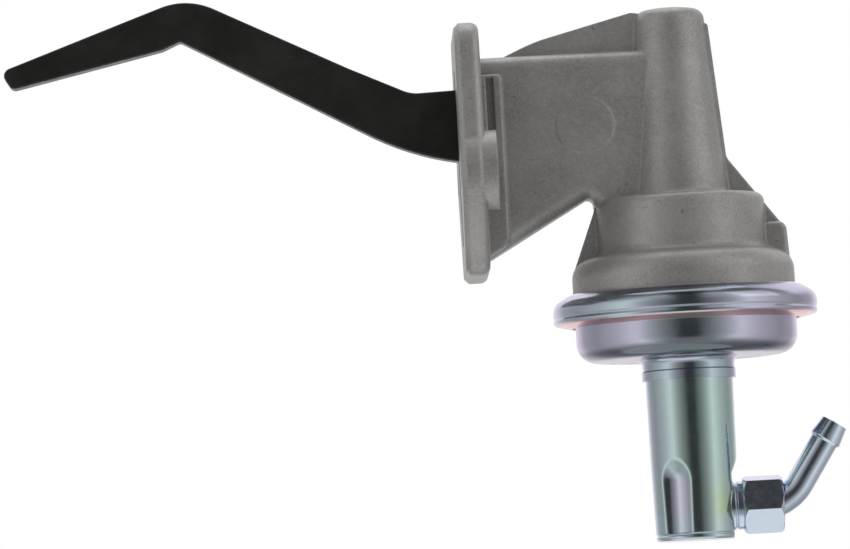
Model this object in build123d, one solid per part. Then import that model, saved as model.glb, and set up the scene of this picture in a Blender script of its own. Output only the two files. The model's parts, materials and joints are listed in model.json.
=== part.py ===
from build123d import *
import os
from math import atan2, cos, degrees, radians, sin, sqrt, tan

# Mechanical fuel pump with a long rocker arm. Millimetres.
# The origin is the middle of the two bolt holes, on the mounting face. +X runs from the
# face to the pump, +Z runs along the diaphragm axis towards the spring tower, and the arm
# swings in the XZ plane.

# Mounting flange
flange_thickness = 8.3
flange_top = 50.5
flange_bottom = -34.5
flange_upper_half = 36.0
flange_corner = 9.0
lug_radius = 13.9
lug_upper_tilt = radians(38)
lug_lower_tilt = radians(34)
lug_shoulder = 10.6
lug_shoulder_round = 3.0
face_bevel = 1.6
back_round = 2.8
bolt_spacing = 69.85
bolt_hole = 10.3
bolt_boss = 26.8
bolt_boss_height = 4.0
back_block_half = 14.0
back_block_reach = 15.6
back_block_top = 34.0
back_block_foot_gap = 0.8
back_block_edge = 0.8
pocket_start = 10.2
pocket_end = 12.8
pocket_bottom = 14.6
pocket_top = 32.9
pocket_depth = 3.0

# Hollow neck that holds the arm
neck_half = 10.0
neck_wall = 3.2
neck_top = 40.3
neck_round = 5.0
neck_slope = radians(29.4)
notch_x = 44.9
notch_z = -8.12
notch_round = 2.0
mouth_bottom = -23.0
web_thickness = 4.0
web_foot = 16.3
web_knee_x = 27.5
web_knee_z = 45.2
web_top = 53.5

# Diaphragm axis and spring tower
axis_x = 74.1
tower_top = 54.5
tower_top_radius = 11.65
tower_foot_radius = 17.2
tower_edge = 4.0
tower_crown_radius = 5.2
tower_crown_drop = 1.1
tower_bore = 9.8
tower_roof = 3.5

# Diaphragm cover
drum_radius = 28.8
drum_top = -10.0
drum_bottom = -28.9
cover_radius = 37.8
cover_shoulder = -31.0
cover_round = 7.0
cover_wall = 4.1
cover_foot = -42.2
rim_gap = 0.2
rim_edge = -46.9
rim_face = -47.4
cavity_roof = -14.5
rib_thickness = 5.0
right_rib_top = 48.6
right_rib_knee = 2.42
right_rib_end = 108.6
lug_block_width = 11.0
lug_block_top = -20.3
lug_block_end = 109.7
lug_block_foot = 111.0
lug_block_round = 1.5

# Rocker arm and its pivot
pivot_x = 43.3
pivot_z = 15.4
pivot_boss_radius = 10.0
pivot_boss_near = 0.4
pivot_boss_far = 2.0
pin_diameter = 8.0
pin_blind_depth = 8.6
running_gap = 0.04
bush_wall = 1.5
bush_side_gap = 0.35
arm_thickness = 9.4
pad_thickness = 11.0
arm_past_tip = -160.0
pad_root_x = -112.0
shank_start_x = -80.0
nose_thickness = 5.5
nose_bottom = 11.0
nose_top = 20.0
nose_start = 63.0
nose_gap = 0.6
arm_edge = 0.8

# Pull rod and the two springs
rod_diameter = 5.6
blade_width = 11.0
blade_thickness = 2.4
blade_gap = 0.3
blade_bridge = 4.2
blade_foot = 3.0
rod_bore = 13.0
seal_diameter = 20.0
seal_height = 4.0
seal_gap = 0.06
retainer_radius = 17.8
retainer_thickness = 1.0
retainer_rim = 2.6
seat_radius = 8.6
seat_thickness = 1.0
return_spring_radius = 7.7
return_spring_wire = 1.9
return_spring_turns = 7.0
diaphragm_spring_radius = 14.7
diaphragm_spring_wire = 2.6
diaphragm_spring_turns = 4.5

# Diaphragm stack, clamped by the rolled ring
diaphragm_thickness = 0.9
diaphragm_roll_depth = 2.6
upper_plate_radius = 26.0
upper_plate_thickness = 1.0
upper_plate_rim = 2.0
lower_plate_radius = 24.0
lower_plate_thickness = 1.0
rivet_radius = 4.0
rivet_height = 1.3
valve_plate_thickness = 1.0
valve_plate_dish = 6.9
valve_plate_gap = 1.4
valve_plate_draft = 2.0
gasket_thickness = 0.4
gasket_width = 2.6
ring_radius = 44.9
ring_thickness = 1.2
ring_lip_gap = 0.6
ring_shoulder = 4.0
ring_groove = 0.35
ring_groove_rise = 2.1

# Bowl, neck and can
bowl_thickness = 1.1
bowl_radius = 37.6
bowl_depth = 14.2
bowl_corner = 6.5
bowl_foot_round = 2.5
collar_band = 15.6
collar_step = 4.0
collar_length = 7.4
can_neck_radius = 14.85
can_radius = 14.6
can_foot_radius = 14.1
can_wall = 1.0
can_taper_end = -101.0
can_bottom = -127.0
can_corner = 2.6
braze_gap = 0.03
flute_floor = 12.35
flute_floor_width = 6.4
flute_mouth_width = 10.6
flute_mouth_radius = 13.4
flute_top = -104.0
port_flat_top = -100.5
port_flat_foot = -104.9
riser_wall = 0.8
riser_funnel_reach = 13.0
riser_lap = 3.0

# Valves
valve_flange_radius = 5.6
valve_body_radius = 4.8
valve_bore_radius = 2.6
valve_flange_height = 0.6
valve_land_height = 0.3
valve_disc_radius = 3.9
valve_disc_thickness = 0.9
valve_lift = 1.0
valve_cage_radius = 5.0
valve_cage_wall = 0.5
valve_cage_height = 4.0
valve_spring_radius = 2.2
valve_spring_wire = 0.4
valve_spring_turns = 3.0
inlet_valve_inset = 9.6
outlet_valve_inset = 6.4

# Inlet port, nut and hose tube
port_z = -116.0
port_flange_radius = 8.3
port_flange_end = 15.9
port_body_radius = 7.2
port_body_start = 7.0
port_thread_radius = 6.2
port_hole_radius = 3.4
port_seat_depth = 6.6
nut_flats = 18.2
nut_length = 13.6
nut_turn = 10.0
nut_shank_gap = 0.05
tube_radius = 4.75
tube_wall = 1.0
tube_gap = 0.1
tube_first_bend_x = 102.0
tube_first_angle = 32.0
tube_first_radius = 9.0
tube_second_bend_x = 108.0
tube_second_angle = 57.2
tube_second_radius = 15.0
tube_end_z = -89.5
nut_counterbore_radius = 7.4
nut_counterbore_depth = 5.6
bead_radius = 5.5
bead_tip_radius = 4.6
bead_length = 6.1

# Outlet fitting behind the bowl
outlet_z = -57.6
outlet_spigot_radius = 3.9
outlet_spigot_end = 46.2
outlet_body_radius = 7.9
outlet_body_end = 58.0
outlet_thread_radius = 5.6
outlet_thread_depth = 9.0
outlet_hole_radius = 2.7
weep_hole = 3.2
weep_z = -24.0

# Places that follow from the stack in the rolled ring
rim_radius = ring_radius - ring_thickness - rim_gap
valve_plate_lip_radius = bowl_radius - bowl_thickness - valve_plate_gap
valve_plate_floor_radius = valve_plate_lip_radius - valve_plate_draft
riser_funnel_radius = valve_plate_floor_radius - riser_funnel_reach
inlet_valve_offset = riser_funnel_radius - inlet_valve_inset
outlet_valve_offset = valve_plate_floor_radius - outlet_valve_inset
flange_bend = bowl_radius + 0.63 * (rim_radius - bowl_radius)
diaphragm_under = rim_face - diaphragm_thickness
plate_under = diaphragm_under - valve_plate_thickness
gasket_under = plate_under - gasket_thickness
bowl_flange_under = gasket_under - bowl_thickness
ring_under = bowl_flange_under - ring_thickness
bowl_floor = gasket_under - bowl_depth - bowl_thickness
step_z = bowl_floor - collar_step
can_top = step_z - bowl_thickness
collar_end = bowl_floor - collar_length
valve_floor = diaphragm_under - valve_plate_dish
nut_start = axis_x + port_flange_end
nut_end = nut_start + nut_length
chamber_half = neck_half - neck_wall
chamber_floor = drum_top + neck_wall + 0.3
tower_ceiling = tower_top - tower_roof


def outline(*corners):
    """Closed flat face from corners given as (across, up, corner radius)."""
    points = [(across, up) for across, up, radius in corners]
    radii = [radius for across, up, radius in corners]
    return make_face(FilletPolyline(*points, radius=radii, close=True))


def slab(face, low, high):
    """Face drawn in XZ, made solid from Y = low to Y = high."""
    return Pos(0, high, 0) * extrude(Plane.XZ * face, high - low)


def turned(*corners):
    """Solid of revolution about the diaphragm axis from corners (radius, Z, corner radius)."""
    return Pos(axis_x, 0, 0) * revolve(Plane.XZ * outline(*corners), Axis.Z)


def pressed(thickness, points, radii):
    """Drawn sheet about the diaphragm axis: the outer face's line, with its wall laid inwards."""
    line = FilletPolyline(*points, radius=radii)
    wall = make_face(offset(line, amount=thickness, side=Side.RIGHT, closed=True))
    return Pos(axis_x, 0, 0) * revolve(Plane.XZ * wall, Axis.Z)


def tube_about(place, outer, inner, length):
    """Plain ring or washer whose foot lies on the given plane."""
    return place * extrude(Circle(outer) - Circle(inner), length)


def coil(radius, wire, turns, low, high):
    """Compression spring about the diaphragm axis that just fills the height from low to high."""
    rise = high - low - wire
    path = Helix(pitch=rise / turns, height=rise, radius=radius)
    start = Plane(path @ 0, z_dir=path % 0)
    return Pos(axis_x, 0, low + wire / 2) * sweep(start * Circle(wire / 2), path)


def flange_outline():
    """Bolt flange seen along X: straight upper sides, two bolt lugs and a tapered foot."""
    bolt = bolt_spacing / 2
    upper = bolt + lug_radius / cos(lug_upper_tilt)
    lower = bolt + lug_radius / cos(lug_lower_tilt)
    spread = (lug_upper_tilt + lug_lower_tilt) / 2
    turn = (lug_upper_tilt - lug_lower_tilt) / 2
    reach = lug_radius / cos(spread)
    half = [
        (flange_upper_half, flange_top, flange_corner),
        (upper - lug_shoulder * tan(lug_upper_tilt), lug_shoulder, lug_shoulder_round),
        (bolt + reach * cos(turn), reach * sin(turn), lug_radius),
        (lower + flange_bottom * tan(lug_lower_tilt), flange_bottom, flange_corner),
    ]
    mirrored = [(-across, up, radius) for across, up, radius in reversed(half)]
    return outline(*half, *mirrored)


def along_x(face, start, end):
    """Face drawn in YZ, made solid from X = start to X = end."""
    return extrude(Plane.YZ.offset(start) * face, end - start)


def neck_line(x, inset=0.0):
    """Height of the neck's sloping underside at x, moved inwards by inset."""
    return notch_z + (x - notch_x) * tan(neck_slope) + inset / cos(neck_slope)


def neck_shell():
    """Outside of the hollow neck, its long edges rounded as cast."""
    start = flange_thickness / 2
    block = slab(
        outline(
            (start, neck_top, 0),
            (axis_x, neck_top, 0),
            (axis_x, notch_z - 2 * notch_round - 2, 0),
            (notch_x + 3.1, notch_z - 2 * notch_round - 2, 0),
            (notch_x, notch_z - 2 * notch_round, 0),
            (notch_x, notch_z, notch_round),
            (start, neck_line(start), 0),
        ),
        -neck_half,
        neck_half,
    )
    top = block.edges().filter_by(Axis.X).filter_by_position(Axis.Z, neck_top - 1, neck_top + 1)
    low = [
        edge
        for edge in block.edges()
        if abs(abs(edge.center().Y) - neck_half) < 0.01
        and edge.center().X < notch_x - 8
        and edge.center().Z < neck_line(edge.center().X) + 0.5
        and edge.length > neck_half
    ]
    return fillet(top + low, neck_round)


def arm_chamber():
    """Space inside the neck for the arm, open at the mounting face."""
    mouth_x = notch_x + (mouth_bottom - notch_z - neck_wall / cos(neck_slope)) / tan(neck_slope)
    floor_x = notch_x + (chamber_floor - notch_z - neck_wall / cos(neck_slope)) / tan(neck_slope)
    end = axis_x + tower_bore - 1.3
    return slab(
        outline(
            (-1, neck_top - neck_wall, 0),
            (axis_x, neck_top - neck_wall, 0),
            (axis_x, nose_top + 6, 0),
            (end, nose_top + 6, 2),
            (end, chamber_floor, 2),
            (floor_x, chamber_floor, 3),
            (mouth_x, mouth_bottom, 3),
            (-1, mouth_bottom, 0),
        ),
        -chamber_half,
        chamber_half,
    )


def back_block():
    """Block behind the flange round the neck's root, with a shallow pocket in each side."""
    start = flange_thickness / 2
    block = slab(
        outline(
            (start, back_block_top, 0),
            (back_block_reach, back_block_top, 1.5),
            (back_block_reach, neck_line(back_block_reach) + back_block_foot_gap, 5),
            (start, neck_line(start) + back_block_foot_gap, 0),
        ),
        -back_block_half,
        back_block_half,
    )
    block = fillet([edge for edge in block.edges() if edge.center().X > start + 1],
                   back_block_edge)
    middle = ((pocket_start + pocket_end) / 2, (pocket_bottom + pocket_top) / 2)
    for side in (-1, 1):
        block -= Pos(middle[0], side * back_block_half, middle[1]) * Box(
            pocket_end - pocket_start, 2 * pocket_depth, pocket_top - pocket_bottom)
    return block


def tower_and_cover():
    """Spring tower, drum and diaphragm cover: one turned form with cast corners."""
    return turned(
        (0, tower_top, 0),
        (tower_crown_radius, tower_top, 25),
        (tower_top_radius, tower_top - tower_crown_drop, tower_edge),
        (tower_foot_radius, drum_top, 2.5),
        (drum_radius, drum_top, 3),
        (drum_radius, drum_bottom, 3),
        (cover_radius, cover_shoulder, cover_round),
        (cover_radius, cover_foot, 0.6),
        (rim_radius, rim_edge, 0),
        (rim_radius, rim_face, 0),
        (0, rim_face, 0),
    )


def cast_ribs():
    """Web on the neck's top, a rib down each side of the tower and the lug block on the cover."""
    half = rib_thickness / 2
    web = slab(
        outline(
            (web_foot, neck_top - 2, 0),
            (web_foot, neck_top, 0),
            (web_knee_x, web_knee_z, 60),
            (axis_x - tower_top_radius - 1.5, web_top, 0),
            (axis_x, web_top - 2, 0),
            (axis_x, neck_top - 2, 0),
        ),
        -web_thickness / 2,
        web_thickness / 2,
    )
    right_rib = slab(
        outline(
            (axis_x, right_rib_top, 0),
            (axis_x + tower_top_radius + 1.25, right_rib_top, 1.2),
            (axis_x + tower_foot_radius - 0.4, right_rib_knee, 4),
            (right_rib_end, lug_block_top - 1, 0),
            (right_rib_end, cover_foot + 0.3, 0),
            (axis_x, cover_foot + 0.3, 0),
        ),
        -half,
        half,
    )
    left_rib = slab(
        outline(
            (notch_x + 0.6, notch_z - 1.9, 0),
            (axis_x, notch_z - 1.9, 0),
            (axis_x, cover_shoulder - 3, 0),
            (axis_x - cover_radius + 0.7, cover_shoulder - 3, 0),
            (notch_x - 0.1, notch_z - 5.7, 2),
        ),
        -half,
        half,
    )
    block = slab(
        outline(
            (axis_x + 20, lug_block_top, 0),
            (lug_block_end, lug_block_top, 3),
            (lug_block_foot, cover_foot + 0.4, 0),
            (axis_x + 20, cover_foot + 0.4, 0),
        ),
        -lug_block_width / 2,
        lug_block_width / 2,
    )
    rims = [edge for edge in block.edges()
            if abs(abs(edge.center().Y) - lug_block_width / 2) < 0.01
            and edge.center().X > axis_x + 21 and edge.center().Z > cover_foot + 1]
    return web + right_rib + left_rib + fillet(rims, lug_block_round)


def body_casting():
    """Die-cast body: flange, neck, spring tower and diaphragm cover in one hollow piece."""
    flange = flange_outline()
    plate = along_x(flange, 0, flange_thickness)
    front = plate.faces().sort_by(Axis.X)[0]
    plate = chamfer(front.edges(), face_bevel)
    back = plate.faces().sort_by(Axis.X)[-1]
    plate = fillet(back.edges(), back_round)
    pin_line = Plane(origin=(pivot_x, 0, pivot_z), x_dir=(1, 0, 0), z_dir=(0, 1, 0))
    near_boss = pin_line * Pos(0, 0, -neck_half - pivot_boss_near) * Cylinder(
        pivot_boss_radius, pivot_boss_near + 2, align=(Align.CENTER, Align.CENTER, Align.MIN))
    near_boss = chamfer(near_boss.edges().sort_by(Axis.Y)[0], 0.3)
    far_boss = pin_line * Pos(0, 0, neck_half - 2) * Cylinder(
        pivot_boss_radius, pivot_boss_far + 2, align=(Align.CENTER, Align.CENTER, Align.MIN))

    body = plate + back_block() + neck_shell() + tower_and_cover() + cast_ribs()
    body += near_boss + far_boss
    for side in (-1, 1):
        body += Pos(0, side * bolt_spacing / 2, 0) * extrude(
            Plane.YZ.offset(flange_thickness / 2) * Circle(bolt_boss / 2),
            flange_thickness / 2 + bolt_boss_height)

    body -= arm_chamber()
    body -= Pos(axis_x, 0, nose_top - 8) * Cylinder(
        tower_bore, tower_ceiling - nose_top + 8, align=(Align.CENTER, Align.CENTER, Align.MIN))
    body -= turned(
        (0, cavity_roof, 0),
        (drum_radius - cover_wall, cavity_roof, 3),
        (drum_radius - cover_wall, drum_bottom - cover_wall, 2),
        (cover_radius - cover_wall, drum_bottom - cover_wall - 2.5, 3),
        (cover_radius - cover_wall, rim_face - 1, 0),
        (0, rim_face - 1, 0),
    )
    body -= Pos(axis_x, 0, chamber_floor + 1) * Cylinder(
        rod_bore / 2, 12, align=(Align.CENTER, Align.CENTER, Align.MAX))
    body -= Pos(axis_x, 0, cavity_roof + seal_height) * Cylinder(
        seal_diameter / 2, seal_height + 1, align=(Align.CENTER, Align.CENTER, Align.MAX))
    body -= pin_line * Pos(0, 0, -pin_blind_depth) * Cylinder(
        pin_diameter / 2 + braze_gap, 40, align=(Align.CENTER, Align.CENTER, Align.MIN))
    for side in (-1, 1):
        body -= Pos(0, side * bolt_spacing / 2, 0) * (Plane.YZ * Cylinder(bolt_hole / 2, 60))
    body -= Pos(axis_x, 0, weep_z) * (
        Plane.XZ * Cylinder(weep_hole / 2, 60, align=(Align.CENTER, Align.CENTER, Align.MAX)))
    return body


def pivot_pin():
    """Hardened pin, pressed in from the far side and left flush with its boss."""
    line = Plane(origin=(pivot_x, -pin_blind_depth, pivot_z), x_dir=(1, 0, 0), z_dir=(0, 1, 0))
    length = pin_blind_depth + neck_half + pivot_boss_far
    pin = line * Cylinder(pin_diameter / 2, length, align=(Align.CENTER, Align.CENTER, Align.MIN))
    ends = pin.edges().filter_by(GeomType.CIRCLE)
    return chamfer(ends, 0.6)


def arm_outline():
    """Side view of the arm: cam pad, hump, long shank, pivot eye and the lifting nose."""
    return outline(
        (-154.2, 44.3, 2.6),
        (-89.4, 66.65, 23),
        (-36.0, 39.5, 60),
        (-15.2, 29.7, 12),
        (18.0, 30.6, 30),
        (pivot_x + 6, 27.6, 14),
        (nose_start, nose_top, 6),
        (axis_x + tower_bore - nose_gap, nose_top, 2),
        (axis_x + tower_bore - nose_gap, nose_bottom, 3),
        (nose_start + 1, nose_bottom, 8),
        (pivot_x + 7, 3.2, 14),
        (22.0, 1.9, 40),
        (-16.0, 8.5, 95),
        (-92.5, 51.6, 2),
        (-98.6, 49.0, 8),
        (-150.4, 38.1, 2.4),
    )


def arm_plan():
    """Arm seen from above: wide cam pad, slightly thinner shank and the thin nose in the rod."""
    blend = 30
    half = [
        (arm_past_tip, pad_thickness / 2, 0),
        (pad_root_x, pad_thickness / 2, blend),
        (shank_start_x, arm_thickness / 2, blend),
        (nose_start - 3, arm_thickness / 2, 2),
        (nose_start, nose_thickness / 2, 2),
        (axis_x + tower_bore, nose_thickness / 2, 0),
    ]
    mirrored = [(along, -across, radius) for along, across, radius in reversed(half)]
    return outline(*half, *mirrored)


def rocker_arm():
    """Forged arm: its side outline and its plan, with the rims of the pad and shank rounded."""
    arm = slab(arm_outline(), -pad_thickness / 2, pad_thickness / 2)
    arm &= Pos(0, 0, -20) * extrude(arm_plan(), 110)
    rims = [edge for edge in arm.edges()
            if abs(edge.center().Y) > arm_thickness / 2 - 0.01 and edge.center().X < nose_start - 5]
    arm = fillet(rims, arm_edge)
    eye = Plane(origin=(pivot_x, 0, pivot_z), x_dir=(1, 0, 0), z_dir=(0, 1, 0))
    return arm - eye * Cylinder(pin_diameter / 2 + running_gap + bush_wall + braze_gap, 40)


def arm_bushing():
    """Plain steel bush in the arm's eye, a little shorter than the chamber is wide."""
    inner = pin_diameter / 2 + running_gap
    half = chamber_half - bush_side_gap
    place = Plane(origin=(pivot_x, -half, pivot_z), x_dir=(1, 0, 0), z_dir=(0, 1, 0))
    return tube_about(place, inner + bush_wall, inner, 2 * half)


def return_spring_seat():
    """Pressed seat that straddles the nose and carries the return spring."""
    seat = Pos(axis_x, 0, nose_top) * extrude(
        Circle(seat_radius) - Rectangle(2 * blade_thickness, blade_width + 1.2), seat_thickness)
    for side in (-1, 1):
        ear = Pos(axis_x + 4.5, side * (nose_thickness / 2 + 0.1 + 0.5), nose_top)
        seat += ear * Box(4, 1.0, 4, align=(Align.CENTER, Align.CENTER, Align.MAX))
    return seat


def pull_rod():
    """Rod whose flat, slotted end hangs on the nose and whose foot is riveted over."""
    slot_low = nose_bottom - blade_gap
    slot_high = nose_top + blade_gap
    blade = Pos(axis_x, 0, blade_foot) * Box(
        blade_thickness, blade_width, slot_high + blade_bridge - blade_foot,
        align=(Align.CENTER, Align.CENTER, Align.MIN))
    blade = fillet(blade.edges().filter_by(Axis.X), 1.5)
    blade -= Pos(axis_x, 0, slot_low) * Box(
        2 * blade_thickness, nose_thickness + 2 * blade_gap, slot_high - slot_low,
        align=(Align.CENTER, Align.CENTER, Align.MIN))
    foot = diaphragm_under - lower_plate_thickness
    shaft = turned(
        (0, blade_foot + 4, 0),
        (rod_diameter / 2 - 0.8, blade_foot + 4, 0),
        (rod_diameter / 2, blade_foot - 2, 0),
        (rod_diameter / 2, foot, 0),
        (rivet_radius, foot, 0.3),
        (rivet_radius - 0.6, foot - rivet_height, 0.4),
        (0, foot - rivet_height, 0),
    )
    return shaft + blade


def upper_diaphragm_plate():
    """Dished steel plate above the diaphragm, its rim turned up to seat the spring."""
    top = rim_face + upper_plate_thickness
    return turned(
        (rod_diameter / 2 + braze_gap, rim_face, 0),
        (upper_plate_radius, rim_face, 1.4),
        (upper_plate_radius, top + upper_plate_rim, 0.3),
        (upper_plate_radius - upper_plate_thickness, top + upper_plate_rim, 0.3),
        (upper_plate_radius - upper_plate_thickness, top, 0.4),
        (rod_diameter / 2 + braze_gap, top, 0),
    )


def lower_diaphragm_plate():
    """Plain steel plate under the diaphragm with a softened edge."""
    return turned(
        (rod_diameter / 2 + braze_gap, diaphragm_under, 0),
        (lower_plate_radius, diaphragm_under, 0.4),
        (lower_plate_radius, diaphragm_under - lower_plate_thickness, 0.4),
        (rod_diameter / 2 + braze_gap, diaphragm_under - lower_plate_thickness, 0),
    )


def diaphragm():
    """Rubbered fabric disc: flat rim in the joint, one rolled convolution, flat middle."""
    inner = upper_plate_radius + 0.6
    outer = min(cover_radius - cover_wall, valve_plate_lip_radius) - 0.4
    middle = (inner + outer) / 2
    drop = diaphragm_roll_depth
    return turned(
        (rod_diameter / 2 + braze_gap, rim_face, 0),
        (inner, rim_face, 1.2),
        (middle, rim_face - drop, 1.6),
        (outer, rim_face, 1.2),
        (rim_radius - 0.1, rim_face, 0),
        (rim_radius - 0.1, diaphragm_under, 0),
        (outer, diaphragm_under, 1.2),
        (middle, diaphragm_under - drop, 1.6),
        (inner, diaphragm_under, 1.2),
        (rod_diameter / 2 + braze_gap, diaphragm_under, 0),
    )


def rod_seal():
    """Rubber oil seal round the rod, in the counterbore over the diaphragm spring."""
    place = Plane.XY.offset(cavity_roof)
    inner = rod_diameter / 2 + seal_gap
    return Pos(axis_x, 0, 0) * tube_about(place, seal_diameter / 2 - braze_gap, inner, seal_height)


def seal_retainer():
    """Pressed cup that holds the seal up and centres the diaphragm spring."""
    under = cavity_roof - retainer_thickness
    return turned(
        (rod_diameter / 2 + 1.4, cavity_roof, 0),
        (retainer_radius, cavity_roof, 1.2),
        (retainer_radius, under - retainer_rim, 0),
        (retainer_radius - retainer_thickness, under - retainer_rim, 0),
        (retainer_radius - retainer_thickness, under, 0.3),
        (rod_diameter / 2 + 1.4, under, 0),
    )


def arm_return_spring():
    """Spring in the tower that keeps the arm's pad on its cam."""
    return coil(return_spring_radius, return_spring_wire, return_spring_turns,
                nose_top + seat_thickness, tower_ceiling)


def diaphragm_spring():
    """Spring that pushes the diaphragm down and so sets the delivery pressure."""
    return coil(diaphragm_spring_radius, diaphragm_spring_wire, diaphragm_spring_turns,
                rim_face + upper_plate_thickness, cavity_roof - retainer_thickness)


def crimp_ring():
    """Rolled ring: a sloped upper lip, a wall with a seam groove and a sloped lower lip."""
    wall_inner = ring_radius - ring_thickness
    groove = ring_under + ring_groove_rise
    lower_lip = bowl_radius + 1
    return turned(
        (cover_radius + ring_lip_gap, cover_foot + 1.3, 0.4),
        (ring_radius, rim_edge + 0.6, ring_shoulder),
        (ring_radius, groove + 0.8, 0.4),
        (ring_radius - ring_groove, groove, 0.4),
        (ring_radius, groove - 0.8, 0.4),
        (ring_radius, ring_under + 0.5, 0.5),
        (ring_radius - 0.7, ring_under, 0.5),
        (lower_lip, ring_under - 1.4, 0.3),
        (lower_lip, bowl_flange_under - 1.55, 0),
        (flange_bend + 0.4, bowl_flange_under - 0.05, 0),
        (flange_bend + 0.5, bowl_flange_under, 0),
        (wall_inner, bowl_flange_under, 0),
        (wall_inner, rim_edge, 0),
        (cover_radius + 0.15, cover_foot, 0),
    )


def valve_places():
    """Each valve's name, place on the valve plate and direction of flow."""
    return (
        ("inlet", axis_x + inlet_valve_offset, valve_floor, 1),
        ("outlet", axis_x - outlet_valve_offset, valve_floor - valve_plate_thickness, -1),
    )


def valve_plate():
    """Dished steel plate under the diaphragm that carries both valves."""
    floor = valve_floor
    plate = turned(
        (0, floor, 0),
        (valve_plate_floor_radius, floor, 1.0),
        (valve_plate_lip_radius, diaphragm_under, 2.2),
        (rim_radius - 0.1, diaphragm_under, 0),
        (rim_radius - 0.1, plate_under, 0),
        (valve_plate_lip_radius + 0.8, plate_under, 1.2),
        (valve_plate_floor_radius + 0.8, floor - valve_plate_thickness, 2.0),
        (0, floor - valve_plate_thickness, 0),
    )
    for name, x, z, flow in valve_places():
        plate -= Pos(x, 0, z) * Cylinder(valve_body_radius + braze_gap, 8)
    return plate


def valve_turned(flow, x, z, *corners):
    """Solid of revolution on a valve's own axis, drawn for upward flow."""
    shape = revolve(Plane.XZ * outline(*corners), Axis.Z)
    if flow < 0:
        shape = Rot(180, 0, 0) * shape
    return Pos(x, 0, z) * shape


def valve_seat(flow, x, z):
    """Brass seat, staked through the valve plate, with a raised land for the disc."""
    staked = valve_plate_thickness + 0.8
    return valve_turned(
        flow, x, z,
        (valve_bore_radius, -staked, 0),
        (valve_body_radius, -staked, 0.3),
        (valve_body_radius, 0, 0),
        (valve_flange_radius, 0, 0),
        (valve_flange_radius, valve_flange_height, 0),
        (valve_bore_radius + 0.9, valve_flange_height, 0),
        (valve_bore_radius + 0.9, valve_flange_height + valve_land_height, 0),
        (valve_bore_radius, valve_flange_height + valve_land_height, 0),
    )


def valve_disc(flow, x, z):
    """Rubber disc that lifts off the land."""
    low = valve_flange_height + valve_land_height
    return valve_turned(
        flow, x, z,
        (0, low, 0),
        (valve_disc_radius, low, 0.2),
        (valve_disc_radius, low + valve_disc_thickness, 0.2),
        (0, low + valve_disc_thickness, 0),
    )


def valve_cage(flow, x, z):
    """Brass cage over the disc, with three windows for the fuel and a hole in its crown."""
    low = valve_flange_height
    inner = valve_cage_radius - valve_cage_wall
    cage = revolve(
        Plane.XZ * outline(
            (inner, low, 0),
            (valve_cage_radius, low, 0),
            (valve_cage_radius, low + valve_cage_height, 0.6),
            (1.2, low + valve_cage_height, 0),
            (1.2, low + valve_cage_height - valve_cage_wall, 0),
            (inner, low + valve_cage_height - valve_cage_wall, 0),
        ),
        Axis.Z,
    )
    for turn in (0, 120, 240):
        cage -= Rot(0, 0, turn) * Pos(valve_cage_radius, 0, low + valve_cage_height / 2) * Box(
            4, 4.4, valve_cage_height - 2)
    if flow < 0:
        cage = Rot(180, 0, 0) * cage
    return Pos(x, 0, z) * cage


def valve_spring(flow, x, z):
    """Light coil between the disc and the crown of the cage."""
    low = valve_flange_height + valve_land_height + valve_disc_thickness
    high = valve_flange_height + valve_cage_height - valve_cage_wall
    rise = high - low - valve_spring_wire
    path = Helix(pitch=rise / valve_spring_turns, height=rise, radius=valve_spring_radius)
    start = Plane(path @ 0, z_dir=path % 0)
    spring = Pos(0, 0, low + valve_spring_wire / 2) * sweep(
        start * Circle(valve_spring_wire / 2), path)
    if flow < 0:
        spring = Rot(180, 0, 0) * spring
    return Pos(x, 0, z) * spring


def bowl_gasket():
    """Thin ring between the valve plate and the bowl's flange."""
    place = Plane.XY.offset(gasket_under)
    outer = rim_radius - 0.1
    return Pos(axis_x, 0, 0) * tube_about(place, outer, outer - gasket_width, gasket_thickness)


def fuel_bowl():
    """Deep-drawn bowl with its clamped flange and the collar that takes the can."""
    collar = can_neck_radius + braze_gap + bowl_thickness
    bend_round = min(1.2, rim_radius - 0.1 - flange_bend)
    bowl = pressed(
        bowl_thickness,
        [
            (rim_radius - 0.1, bowl_flange_under),
            (flange_bend, bowl_flange_under),
            (bowl_radius, bowl_flange_under - 1.9),
            (bowl_radius, bowl_floor),
            (collar_band, bowl_floor),
            (collar_band, step_z),
            (collar, step_z - 0.4),
            (collar, collar_end),
        ],
        [bend_round, 1.4, bowl_corner, bowl_foot_round, 0.2, 0.2],
    )
    hole = Plane(origin=(axis_x, bowl_radius - bowl_corner, outlet_z), z_dir=(0, 1, 0))
    return bowl - hole * Cylinder(outlet_spigot_radius + braze_gap, 20,
                                  align=(Align.CENTER, Align.CENTER, Align.MIN))


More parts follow.
